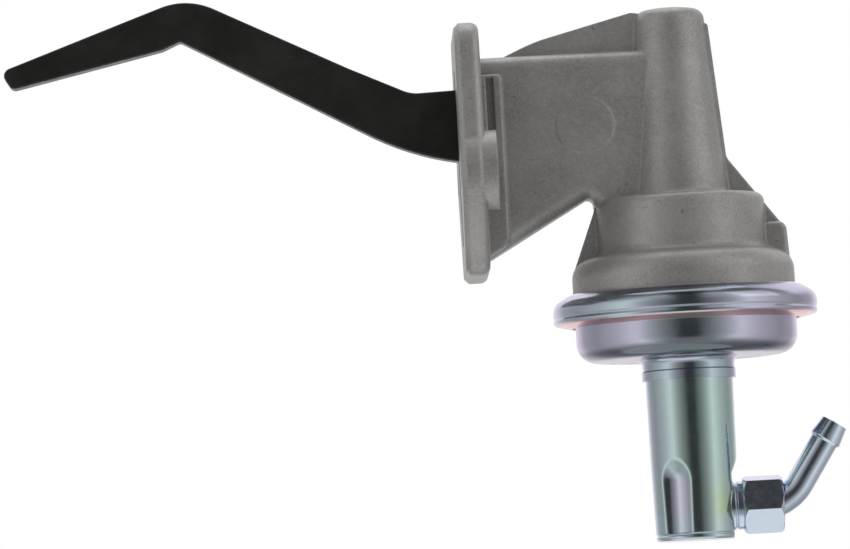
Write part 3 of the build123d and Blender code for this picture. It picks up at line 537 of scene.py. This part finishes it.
class Graph:
    """A node tree that is written as expressions."""

    def __init__(self, tree):
        self.tree = tree
        tree.nodes.clear()

    def node(self, kind, settings=None, inputs=None, output=0):
        """Adds a node of any kind: its settings first, then values or links for its sockets."""
        made = self.tree.nodes.new(kind)
        for name, value in (settings or {}).items():
            if name == "stops":
                self.set_stops(made.color_ramp, value)
            else:
                setattr(made, name, value)
        for key, value in (inputs or {}).items():
            if isinstance(value, Value):
                self.tree.links.new(value.socket, made.inputs[key])
            else:
                made.inputs[key].default_value = value
        return Value(self, made.outputs[output]) if made.outputs else None

    @staticmethod
    def set_stops(ramp, stops):
        """Gives a colour ramp its (place, colour) stops."""
        while len(ramp.elements) > 1:
            ramp.elements.remove(ramp.elements[-1])
        for number, (place, colour) in enumerate(stops):
            element = ramp.elements[0] if number == 0 else ramp.elements.new(place)
            element.position = place
            element.color = (*colour, 1.0)

    def place(self, stretch=(1.0, 1.0, 1.0), centre=(0.0, 0.0, 0.0)):
        """Object coordinates from a centre, stretched along each axis."""
        where = self.node("ShaderNodeTexCoord", output="Object")
        moved = self.node("ShaderNodeVectorMath", {"operation": "SUBTRACT"}, {0: where, 1: centre})
        return self.node("ShaderNodeVectorMath", {"operation": "MULTIPLY"}, {0: moved, 1: stretch})

    def axis(self, number, centre=(0.0, 0.0, 0.0)):
        """One object coordinate from a centre, in millimetres."""
        return self.node("ShaderNodeSeparateXYZ", {}, {0: self.place(centre=centre)}, number) * (1 / MM)

    def noise(self, size, detail=3.0, roughness=0.55, stretch=(1.0, 1.0, 1.0)):
        """Cloudy noise whose blobs are about a size across, in metres."""
        return self.node(
            "ShaderNodeTexNoise",
            {"noise_dimensions": "3D"},
            {"Vector": self.place(stretch), "Scale": 1.0 / size, "Detail": detail, "Roughness": roughness},
        )

    def ramp(self, factor, *stops):
        """A colour from stops (place, colour) by a value."""
        return self.node("ShaderNodeValToRGB", {"stops": stops}, {"Fac": factor})

    def limit(self, value, low, high, to_low=0.0, to_high=1.0):
        """Maps a value from one range to another, smoothly and held at both ends."""
        return self.node(
            "ShaderNodeMapRange",
            {"interpolation_type": "SMOOTHSTEP"},
            {0: value, 1: low, 2: high, 3: to_low, 4: to_high},
        )

    def mix(self, factor, first, second):
        """Blends two colours."""
        return self.node(
            "ShaderNodeMix", {"data_type": "RGBA"}, {0: factor, 6: first, 7: second}, output=2)

    def bump(self, height, distance, strength=1.0, under=None):
        """Normal of a surface that is raised by a height of 0 to 1 times a distance in metres."""
        inputs = {"Height": height, "Distance": distance, "Strength": strength}
        if under is not None:
            inputs["Normal"] = under
        return self.node("ShaderNodeBump", {}, inputs)

    def soft_edge(self, radius):
        """Normal with every edge and inner corner rounded by a radius in metres."""
        return self.node("ShaderNodeBevel", {"samples": 6}, {"Radius": radius})

    def finish(self, **sockets):
        """Ends a material with one shader whose sockets are named with underscores for spaces."""
        inputs = {name.replace("_", " "): value for name, value in sockets.items()}
        shader = self.node("ShaderNodeBsdfPrincipled", {}, inputs)
        self.node("ShaderNodeOutputMaterial", {}, {"Surface": shader})


def new_material(name):
    """An empty node material and its graph."""
    material = bpy.data.materials.new(name)
    material.use_nodes = True
    return material, Graph(material.node_tree)


def rgba(colour, times=1.0):
    """A colour for a node's socket, made lighter or darker by a factor."""
    return (colour[0] * times, colour[1] * times, colour[2] * times, 1.0)


def grey(level):
    """A plain grey for a node's socket."""
    return (level, level, level, 1.0)


def blasted_casting(colour):
    """Shot-blasted die casting: fine pits, faint clouds, small dark flecks and soft edges."""
    material, graph = new_material("blasted_casting")
    clouds = graph.noise(16 * MM, 4.0)
    grain = graph.noise(0.75 * MM, 3.0, 0.7)
    pits = graph.noise(1.6 * MM, 2.0)
    base = graph.mix(graph.limit(clouds, 0.3, 0.7), rgba(colour, 0.9), rgba(colour, 1.1))
    base = graph.mix(graph.limit(grain, 0.4, 0.66) * 0.4, base, rgba(colour, 1.5))
    flecks = graph.limit(graph.noise(2.6 * MM, 2.0, 0.6), 0.7, 0.74)
    base = graph.mix(flecks * 0.5, base, rgba(colour, 0.45))
    graph.finish(
        Base_Color=base,
        Metallic=0.65,
        Roughness=graph.limit(pits, 0.3, 0.7, 0.4, 0.5),
        Normal=graph.bump(grain * 0.6 + pits * 0.4, 0.08 * MM, 0.6, graph.soft_edge(1.2 * MM)),
    )
    return material


def black_forging(colour):
    """Black-finished forged arm: satin, with faint clouds and fine scuffs along its length."""
    material, graph = new_material("black_forging")
    clouds = graph.limit(graph.noise(18 * MM, 4.0), 0.35, 0.7)
    scuffs = graph.limit(graph.noise(1.1 * MM, 4.0, 0.6, stretch=(0.2, 1.0, 1.0)), 0.66, 0.78)
    base = graph.mix(clouds, rgba(colour), rgba(colour, 1.7))
    base = graph.mix(scuffs * 0.35, base, rgba(colour, 5.0))
    graph.finish(
        Base_Color=base,
        Metallic=0.0,
        Roughness=graph.limit(graph.noise(5 * MM, 4.0), 0.3, 0.7, 0.34, 0.44),
        Specular_IOR_Level=0.32,
        Normal=graph.bump(graph.noise(0.9 * MM, 3.0), 0.015 * MM, 0.4, graph.soft_edge(0.4 * MM)),
    )
    return material


def bright_zinc(name, colours, tint, stretch=(1.0, 1.0, 1.0), roughness=0.16):
    """Bright zinc plating. Its passivation drifts between a cool and a warm tint, apart from a tint of its own.

    The own tint is a function of the graph: it takes the drifting colour and gives the final one. On the ring and
    the bowl it also paints shade into the colour, and on the ring a highlight along the top lip.
    """
    material, graph = new_material(name)
    drift = graph.limit(graph.noise(13 * MM, 3.0, stretch=stretch), 0.35, 0.65)
    base = tint(graph, graph.mix(drift, rgba(colours.zinc_cool), rgba(colours.zinc_warm)))
    specks = graph.limit(graph.noise(0.9 * MM, 3.0, 0.6), 0.7, 0.76)
    base = graph.mix(specks * 0.35, base, rgba(colours.zinc_stain))
    rough = graph.limit(graph.noise(3 * MM, 4.0), 0.3, 0.7, roughness * 0.8, roughness * 1.25)
    graph.finish(
        Base_Color=base,
        Metallic=1.0,
        Roughness=rough,
        Specular_Tint=rgba(colours.zinc_sheen),
        Normal=graph.bump(graph.noise(1.4 * MM, 3.0, stretch=stretch), 0.004 * MM, 0.5),
    )
    return material


def plain_steel(name, colour, roughness):
    """Plain pressed, turned or drawn steel with a faint grain."""
    material, graph = new_material(name)
    drift = graph.limit(graph.noise(6 * MM, 3.0), 0.35, 0.65)
    base = graph.mix(drift, rgba(colour), rgba(colour, 1.2))
    rough = graph.limit(graph.noise(2 * MM, 3.0), 0.3, 0.7, roughness * 0.85, roughness * 1.2)
    graph.finish(
        Base_Color=base,
        Metallic=1.0,
        Roughness=rough,
        Normal=graph.bump(graph.noise(0.8 * MM, 2.0), 0.008 * MM, 0.5),
    )
    return material


def moulded_rubber(name, colour):
    """Matt black rubber with a fine bloom."""
    material, graph = new_material(name)
    bloom = graph.limit(graph.noise(4 * MM, 4.0), 0.4, 0.7)
    graph.finish(
        Base_Color=graph.mix(bloom, rgba(colour), rgba(colour, 1.7)),
        Metallic=0.0,
        Roughness=graph.limit(bloom, 0.0, 1.0, 0.55, 0.75),
        Normal=graph.bump(graph.noise(0.5 * MM, 2.0), 0.02 * MM, 0.4),
    )
    return material


def dress(node, material):
    """Gives a solid of the frame a material in place of its plain one."""
    mesh = frame["nodes"][node].data
    mesh.materials.clear()
    mesh.materials.append(material)


def length(name, description, millimetres):
    """A length property whose default is given in millimetres."""
    return bpy.props.FloatProperty(
        name=name, description=description, unit="LENGTH", precision=6, default=millimetres * MM)


def angle(name, description, degrees):
    """An angle property whose default is given in degrees."""
    return bpy.props.FloatProperty(
        name=name, description=description, subtype="ANGLE", default=math.radians(degrees))


def colour(name, description, value):
    """A colour property with its default."""
    return bpy.props.FloatVectorProperty(name=name, description=description, subtype="COLOR", default=value)


class PumpSizes(bpy.types.PropertyGroup):
    """Sizes of the pressed, turned and bent pieces that the frame's boxes don't give."""

    ring_wall: length("Ring wall", "Thickness of the rolled ring", 1.2)
    ring_lip_radius: length("Ring lip radius", "Inner radius of the ring's top lip", 38.4)
    ring_slope: length("Ring slope", "How far the ring's top lip falls to its wall", 4.0)
    ring_corner: length("Ring corner", "Radius between the ring's top lip and wall", 4.5)
    ring_groove: length("Ring groove", "Depth of the seam groove in the ring's wall", 0.35)
    ring_groove_rise: length("Ring groove height", "Height of the seam groove over the ring's foot", 3.5)
    bowl_wall: length("Bowl wall", "Thickness of the bowl", 1.1)
    bowl_radius: length("Bowl radius", "Outer radius of the bowl", 37.6)
    bowl_corner: length("Bowl corner", "Radius between the bowl's wall and floor", 6.5)
    bowl_foot_round: length("Bowl foot", "Radius between the bowl's floor and its neck", 2.5)
    collar_band: length("Neck radius", "Outer radius of the band above the collar", 15.6)
    collar_length: length("Neck length", "From the bowl's floor to the end of its collar", 7.4)
    collar_step: length("Neck step", "From the bowl's floor to the step of its neck", 4.0)
    can_wall: length("Can wall", "Thickness of the can", 1.0)
    can_radius: length("Can radius", "Outer radius of the can over its flutes", 14.6)
    can_foot_radius: length("Can foot", "Outer radius of the can at its foot", 14.1)
    can_taper_end: length("Can bend", "Height at which the can starts to taper", -101.0)
    can_corner: length("Can corner", "Radius round the can's folded foot", 1.1)
    flute_floor: length("Flute floor", "From the can's axis to the floor of a flute", 12.35)
    flute_width: length("Flute width", "Width of a flute's floor", 6.4)
    flute_shoulder: length("Flute shoulder", "Width of a flute's sloped side", 2.1)
    flute_rise: length("Flute rise", "How far a flute's sloped side rises over its width", 1.05)
    flute_hollow: length("Flute hollow", "How deep the floor of a flute is hollowed", 0.6)
    flute_top: length("Flute top", "Height of a flute's round top", -104.0)
    flat_foot: length("Flat foot", "Height at which the port's flat starts to slope out", -104.9)
    flat_top: length("Flat top", "Height at which the port's flat meets the round wall", -100.5)
    flat_depth: length("Flat depth", "How far the port's flat slopes out", 2.25)
    port_hole_radius: length("Port hole", "Radius of the hole through the port", 3.4)
    port_thread_radius: length("Port thread", "Radius of the port's thread", 6.2)
    nut_flats: length("Nut flats", "Width of the nut across its flats", 18.2)
    nut_bore: length("Nut bore", "Radius of the nut's counterbore", 7.4)
    nut_bore_depth: length("Nut bore depth", "Depth of the nut's counterbore", 5.6)
    tube_radius: length("Tube radius", "Outer radius of the hose tube", 4.75)
    tube_first_bend: length("First bend", "Distance of the tube's first bend from the mounting face", 102.0)
    tube_second_bend: length("Second bend", "Distance of the tube's second bend from the mounting face", 108.0)
    bead_radius: length("Bead radius", "Largest radius of the tube's end", 5.5)
    bead_tip_radius: length("Tip radius", "Radius at the tube's tip", 4.6)
    bead_length: length("Bead length", "Length of the tube's widened end", 6.1)
    outlet_spigot_radius: length("Outlet spigot", "Radius of the outlet where it enters the bowl", 3.9)
    outlet_thread_radius: length("Outlet thread", "Radius of the outlet's threaded hole", 5.6)
    outlet_bore_radius: length("Outlet bore", "Radius of the outlet's hole", 2.7)


class PumpAngles(bpy.types.PropertyGroup):
    """Angles of the nut and the hose tube."""

    nut_turn: angle("Nut turn", "How far the nut is turned on its thread", 10)
    tube_first: angle("First rise", "Slope of the tube between its bends", 32)
    tube_second: angle("Second rise", "Slope of the tube's straight end", 57.2)


class PumpColours(bpy.types.PropertyGroup):
    """Colours of the pump's finishes, and the colours painted as shade and highlight on the plating."""

    casting: colour("Casting", "Grey of the blasted casting", (0.33, 0.324, 0.313))
    arm: colour("Arm", "Black of the forged arm", (0.011, 0.0105, 0.0095))
    zinc_cool: colour("Zinc, cool", "Blue-grey tint of the plating", (0.49, 0.6, 0.65))
    zinc_warm: colour("Zinc, warm", "Grey-violet tint of the plating", (0.54, 0.57, 0.67))
    zinc_teal: colour("Zinc, teal", "Green-blue tint on the can", (0.44, 0.6, 0.54))
    zinc_green: colour("Zinc, green", "Yellow-green tint low on the can", (0.54, 0.66, 0.44))
    zinc_copper: colour("Zinc, copper", "Copper tint under the ring", (0.62, 0.4, 0.31))
    zinc_lavender: colour("Zinc, lavender", "Violet tint on the ring, the bowl and the flutes", (0.54, 0.51, 0.65))
    zinc_bright: colour("Zinc, bright", "Light blue tint on the port, the nut and the tube", (0.7, 0.8, 0.92))
    # Painted shade: this dark colour stands for the dark reflection on the ring's slope and at the bowl's bend.
    zinc_painted_shade: colour("Zinc, deep", "Dark teal tint at the bowl's bend and on the ring", (0.14, 0.17, 0.18))
    zinc_stain: colour("Zinc, stain", "Small dull specks in the plating", (0.25, 0.27, 0.27))
    # This colour is also painted as a highlight along the ring's top lip.
    zinc_sheen: colour("Zinc, sheen", "Tint of the plating where it is seen edge-on", (1.0, 0.92, 1.0))
    steel: colour("Steel", "Plain steel of the inner pieces", (0.5, 0.51, 0.52))
    brass: colour("Brass", "Brass of the valves", (0.66, 0.5, 0.24))
    rubber: colour("Rubber", "Black of seals and discs", (0.02, 0.02, 0.02))


class StageSizes(bpy.types.PropertyGroup):
    """Where the camera stands and how the room is lit."""

    camera_distance: length("Camera distance", "From the camera to its target", 2600)
    target_x: length("Target X", "Where the camera looks, along the pump", -13.6)
    target_z: length("Target Z", "Where the camera looks, in height", -31.8)
    pixel: length("Pixel", "Length on the pump of one pixel of the photo", 0.34)
    rise: angle("Rise", "How far the camera looks up", 3.5)
    yaw: angle("Yaw", "How far the camera looks to +X", 0.75)
    roll: angle("Roll", "How far the photo is turned", 3.1)
    floor_height: length("Floor", "Height of the floor", -450)
    floor_radius: length("Floor radius", "Radius of the floor", 250)
    softbox_distance: length("Softbox distance", "From the lamps to the frame's origin", 2200)
    softbox_size: length("Softbox size", "Width of each square lamp", 1600)


def piece_sizes(context):
    """Every length in millimetres, and the angles in degrees."""
    sizes = in_mm(context.scene.pump_sizes)
    angles = context.scene.pump_angles
    sizes.nut_turn_degrees = math.degrees(angles.nut_turn)
    sizes.tube_first_degrees = math.degrees(angles.tube_first)
    sizes.tube_second_degrees = math.degrees(angles.tube_second)
    return sizes


class FUELPUMP_OT_casting(bpy.types.Operator):
    """Gives the cast body its blasted finish."""

    bl_idname = "fuelpump.casting"
    bl_label = "Cast Body"

    def execute(self, context):
        dress("body_casting", blasted_casting(context.scene.pump_colours.casting))
        return {"FINISHED"}


class FUELPUMP_OT_arm(bpy.types.Operator):
    """Gives the rocker arm its black finish."""

    bl_idname = "fuelpump.arm"
    bl_label = "Rocker Arm"

    def execute(self, context):
        dress("rocker_arm", black_forging(context.scene.pump_colours.arm))
        return {"FINISHED"}


class FUELPUMP_OT_ring_and_bowl(bpy.types.Operator):
    """Rolls the clamping ring and draws the bowl."""

    bl_idname = "fuelpump.ring_and_bowl"
    bl_label = "Ring and Bowl"

    def execute(self, context):
        sizes, colours = piece_sizes(context), context.scene.pump_colours

        def ring_tint(graph, drifting):
            """Violet to the right, painted shade on the slope in the middle, copper underneath and a painted
            highlight along the top lip.
            """
            side, height = graph.axis(0, PUMP_AXIS), graph.axis(2)
            wall = graph.mix(graph.limit(side, -10, 30) * 0.7, drifting, rgba(colours.zinc_lavender))
            over_wall = graph.limit(height, RING_TOP - 5, RING_TOP - 3.6)
            under_lip = graph.limit(height, RING_TOP - 0.3, RING_TOP - 0.9)
            # Painted shade: the slope is darkened in the middle, where it shows a dark reflection.
            slope = over_wall * under_lip * graph.limit(abs(side), 36, 14)
            wall = graph.mix(slope * 0.85, wall, rgba(colours.zinc_painted_shade))
            hem, hem_blend = RING_FOOT + 1.6, 0.15
            over_hem = graph.limit(height, hem - hem_blend, hem + hem_blend)
            hemmed = graph.mix(over_hem, rgba(colours.zinc_copper), wall)
            # Painted highlight: a light band along the top lip in the sheen's colour.
            lip = graph.limit(height, RING_TOP - 1.5, RING_TOP - 0.8)
            return graph.mix(lip, hemmed, rgba(colours.zinc_sheen, 0.95))

        def bowl_tint(graph, drifting):
            """Violet on the wall's sides and a band of painted shade at the bend, higher and darker in the middle.
            """
            off_centre, height = abs(graph.axis(0, PUMP_AXIS)), graph.axis(2)
            violet = graph.limit(height, BOWL_FOOT + 6, BOWL_FOOT + 7) * graph.limit(off_centre, 4, 22)
            wall = graph.mix(violet * 0.8, drifting, rgba(colours.zinc_lavender))
            floor, floor_blend = BOWL_FOOT + sizes.collar_length, 0.5
            # Painted shade: the band at the bend is darkened, reaching higher and darker in the middle.
            reach = graph.limit(off_centre, 4, 24, 6.5, 4.2)
            bend = graph.limit((height - floor) / reach, 1.0, 0.45)
            bend = bend * graph.limit(height, floor - floor_blend, floor)
            bend = bend * graph.limit(off_centre, 3, 26, 0.95, 0.85)
            return graph.mix(bend, wall, rgba(colours.zinc_painted_shade))

        ring = surface("rolled_ring", turned(ring_line(sizes), (PUMP_X, 0, 0), (0, 0, 1)))
        put("rolled_ring", ring, bright_zinc("ring_zinc", colours, ring_tint), "zinc_plate", "crimp_ring")
        bowl = surface("drawn_bowl", turned(bowl_line(sizes), (PUMP_X, 0, 0), (0, 0, 1)))
        put("drawn_bowl", bowl, bright_zinc("bowl_zinc", colours, bowl_tint), "zinc_plate", "fuel_bowl")
        return {"FINISHED"}


class FUELPUMP_OT_can(bpy.types.Operator):
    """Draws the can with its flutes."""

    bl_idname = "fuelpump.can"
    bl_label = "Fuel Can"

    def execute(self, context):
        sizes, colours = piece_sizes(context), context.scene.pump_colours

        def can_tint(graph, drifting):
            """Teal, yellow-green low on the right, violet in the flutes and blue over the foot."""
            side, height = graph.axis(0, PUMP_AXIS), graph.axis(2)
            tint = graph.mix(graph.limit(side, -15, -3, 0.2, 0.7), drifting, rgba(colours.zinc_teal, 1.15))
            low = graph.limit(height, CAN_FOOT + 24, CAN_FOOT + 10) * graph.limit(height, CAN_FOOT, CAN_FOOT + 8)
            tint = graph.mix(low * graph.limit(side, 2, 8) * 0.9, tint, rgba(colours.zinc_green))
            fluted = graph.limit(side, -1.5, -3.5) * graph.limit(side, -10.5, -8.5)
            fluted = fluted * graph.limit(height, sizes.flute_top + 1, sizes.flute_top - 3)
            tint = graph.mix(fluted * 0.8, tint, rgba(colours.zinc_lavender, 1.15))
            foot = graph.limit(height, CAN_FOOT + 10, CAN_FOOT + 7)
            return graph.mix(foot * 0.6, tint, rgba(colours.zinc_cool, 1.1))

        can = surface("fluted_can", can_points(sizes), joined_along=False)
        plating = bright_zinc("can_zinc", colours, can_tint, stretch=(1, 1, 0.25))
        put("fluted_can", can, plating, "zinc_plate", "fuel_can")
        return {"FINISHED"}


class FUELPUMP_OT_fittings(bpy.types.Operator):
    """Turns the port, the nut and the outlet, and bends the hose tube."""

    bl_idname = "fuelpump.fittings"
    bl_label = "Port, Nut, Tube and Outlet"

    def execute(self, context):
        sizes, colours = piece_sizes(context), context.scene.pump_colours

        def fitting_tint(graph, drifting):
            """Light blue all over."""
            return graph.mix(0.7, drifting, rgba(colours.zinc_bright))

        plating = bright_zinc("fitting_zinc", colours, fitting_tint)
        port = turned(port_line(sizes), (0, 0, PORT_Z), (1, 0, 0), (0, 1, 0), FITTING_ANGLES)
        put("port_collar", surface("port_collar", port), plating, "zinc_plate", "inlet_port")
        put("hex_nut", surface("hex_nut", nut_points(sizes)), plating, "zinc_plate", "tube_nut")
        put("hose_tube", surface("hose_tube", tube_points(sizes)), plating, "zinc_plate", "inlet_tube")
        outlet = turned(outlet_line(sizes), (PUMP_X, 0, OUTLET_Z), (0, 1, 0), (1, 0, 0), FITTING_ANGLES)
        put("outlet_fitting", surface("outlet_fitting", outlet), plating, "zinc_plate", "outlet_port")
        return {"FINISHED"}


class FUELPUMP_OT_inner_pieces(bpy.types.Operator):
    """Finishes the pieces inside the casting, the bowl and the can."""

    bl_idname = "fuelpump.inner_pieces"
    bl_label = "Inner Pieces"

    def execute(self, context):
        colours = context.scene.pump_colours
        slots = {row["node"]: row["material_slot"] for row in frame["record"]["subparts"]}
        finishes = {
            "plain_steel": plain_steel("plain_steel", colours.steel, 0.3),
            "spring_steel": plain_steel("spring_steel", [channel * 0.6 for channel in colours.steel], 0.35),
            "valve_brass": plain_steel("valve_brass", colours.brass, 0.28),
            "seal_rubber": moulded_rubber("seal_rubber", colours.rubber),
            "diaphragm_cloth": moulded_rubber("diaphragm_cloth", [channel * 2 for channel in colours.rubber]),
        }
        for node, slot in slots.items():
            if slot in finishes:
                dress(node, finishes[slot])
        return {"FINISHED"}


class FUELPUMP_OT_stage(bpy.types.Operator):
    """Sets the floor, the white room round the pump and the camera."""

    bl_idname = "fuelpump.stage"
    bl_label = "Stage"

    def execute(self, context):
        sizes = context.scene.stage_sizes
        self.make_floor(sizes)
        self.make_room(context.scene)
        self.hang_softbox(context.scene, sizes, "soft_side", (0.78, -0.3, 0.5), 3.0)
        self.hang_softbox(context.scene, sizes, "soft_top", (0.0, 0.25, 1.0), 11.0)
        self.make_camera(context.scene, sizes)
        context.scene.view_settings.view_transform = "Standard"
        return {"FINISHED"}

    def make_floor(self, sizes):
        """A plain pale disc under the pump, its rim at the radius times the cosine and sine of even angles."""
        turns = np.linspace(0, 2 * math.pi, FLOOR_ANGLES, endpoint=False)
        rim = np.stack([np.cos(turns), np.sin(turns), np.zeros_like(turns)], axis=1) * sizes.floor_radius
        rim[:, 2] = sizes.floor_height
        mesh = bpy.data.meshes.new("floor")
        mesh.from_pydata(rim, [], [range(len(rim))])
        floor = bpy.data.objects.new("floor", mesh)
        bpy.context.scene.collection.objects.link(floor)
        material, graph = new_material("pale_floor")
        graph.finish(Base_Color=grey(0.86), Roughness=0.9)
        mesh.materials.append(material)

    def make_room(self, scene):
        """The room that the plating mirrors: white behind the pump and greyer towards the camera.

        A dark strip stands straight in front and reaches overhead. Scattered light comes at a plain level from
        all round, and the camera itself sees white.
        """
        world = bpy.data.worlds.new("white_room")
        scene.world = world
        world.use_nodes = True
        graph = Graph(world.node_tree)
        way = graph.node("ShaderNodeTexCoord", output="Generated")
        across, depth, height = (graph.node("ShaderNodeSeparateXYZ", inputs={0: way}, output=n) for n in range(3))
        front = depth * -1.0
        level = graph.ramp(front * 0.5 + 0.5, *[(place, grey(share)[:3]) for place, share in ROOM_LEVELS])
        high = graph.limit(height, 0.3, 0.7) * 0.4 * graph.limit(front, -0.7, -0.3)
        low = graph.limit(height, -0.4, -0.65) * 0.2
        shade = (1 - high) * (1 - low)
        level = graph.node("ShaderNodeVectorMath", {"operation": "SCALE"}, {0: level, "Scale": shade})
        behind = graph.limit(height, 0.15, 0.5) * graph.limit(front, -0.2, -0.5)
        level = graph.mix(behind, level, grey(1.0))
        strip = graph.limit(abs(across), 0.3, 0.1) * graph.limit(front, -0.6, -0.3)
        level = graph.mix(strip * graph.limit(height, -0.45, -0.2), level, grey(0.05))
        scattered = graph.node("ShaderNodeLightPath", output="Is Diffuse Ray")
        shown = graph.mix(scattered, level, grey(0.9))
        seen = graph.node("ShaderNodeLightPath", output="Is Camera Ray")
        through = graph.node("ShaderNodeLightPath", output="Is Transmission Ray")
        shown = graph.mix(seen + through, shown, grey(1.0))
        light = graph.node("ShaderNodeBackground", {}, {"Color": shown, "Strength": 1.0})
        graph.node("ShaderNodeOutputWorld", {}, {"Surface": light})

    def hang_softbox(self, scene, sizes, name, way, energy):
        """A square lamp that faces the pump from one side."""
        lamp = bpy.data.lights.new(name, "AREA")
        lamp.shape = "SQUARE"
        lamp.size = sizes.softbox_size
        lamp.energy = energy
        away = Vector(way).normalized()
        turn = away.to_track_quat("Z", "Y").to_matrix().to_4x4()
        softbox = bpy.data.objects.new(name, lamp)
        softbox.matrix_world = Matrix.Translation(away * sizes.softbox_distance) @ turn
        scene.collection.objects.link(softbox)

    def make_camera(self, scene, sizes):
        """A long lens, a little below the pump and rolled as the photo is."""
        target = Vector((sizes.target_x, 0, sizes.target_z))
        forward = Vector((
            math.sin(sizes.yaw) * math.cos(sizes.rise),
            math.cos(sizes.yaw) * math.cos(sizes.rise),
            math.sin(sizes.rise),
        ))
        up_hint = Vector((math.sin(sizes.roll), 0, math.cos(sizes.roll)))
        right = forward.cross(up_hint).normalized()
        up = right.cross(forward).normalized()
        data = bpy.data.cameras.new("camera")
        data.sensor_width = 36.0
        data.lens = data.sensor_width * sizes.camera_distance / (PHOTO_WIDTH * sizes.pixel)
        data.clip_start = 0.05
        data.clip_end = 40.0
        camera = bpy.data.objects.new("camera", data)
        axes = Matrix((right, up, -forward)).transposed().to_4x4()
        axes.translation = target - forward * sizes.camera_distance
        camera.matrix_world = axes
        scene.collection.objects.link(camera)
        scene.camera = camera


class FUELPUMP_PT_panel(bpy.types.Panel):
    """Lists the pump's sizes, colours and pieces in the sidebar."""

    bl_idname = "FUELPUMP_PT_panel"
    bl_label = "Fuel Pump"
    bl_space_type = "VIEW_3D"
    bl_region_type = "UI"
    bl_category = "Fuel Pump"

    def draw(self, context):
        scene = context.scene
        for group in (getattr(scene, name) for name in GROUPS):
            box = self.layout.box()
            for name in property_names(group):
                box.prop(group, name)
        for operator in PIECE_OPERATORS:
            self.layout.operator(operator.bl_idname)


PIECE_OPERATORS = (
    FUELPUMP_OT_casting,
    FUELPUMP_OT_arm,
    FUELPUMP_OT_ring_and_bowl,
    FUELPUMP_OT_can,
    FUELPUMP_OT_fittings,
    FUELPUMP_OT_inner_pieces,
    FUELPUMP_OT_stage,
)
GROUPS = {
    "pump_sizes": PumpSizes,
    "pump_angles": PumpAngles,
    "pump_colours": PumpColours,
    "stage_sizes": StageSizes,
}
CLASSES = (*GROUPS.values(), *PIECE_OPERATORS, FUELPUMP_PT_panel)


def register():
    """Registers the classes and gives the scene its property groups."""
    for kind in CLASSES:
        bpy.utils.register_class(kind)
    for name, kind in GROUPS.items():
        setattr(bpy.types.Scene, name, bpy.props.PointerProperty(type=kind))


def unregister():
    """Takes the property groups and the classes away again."""
    for name in GROUPS:
        delattr(bpy.types.Scene, name)
    for kind in reversed(CLASSES):
        bpy.utils.unregister_class(kind)


def main():
    """Builds every piece in order."""
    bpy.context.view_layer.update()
    register()
    bpy.ops.fuelpump.casting()
    bpy.ops.fuelpump.arm()
    bpy.ops.fuelpump.ring_and_bowl()
    bpy.ops.fuelpump.can()
    bpy.ops.fuelpump.fittings()
    bpy.ops.fuelpump.inner_pieces()
    bpy.ops.fuelpump.stage()


if __name__ == "__main__":
    main()
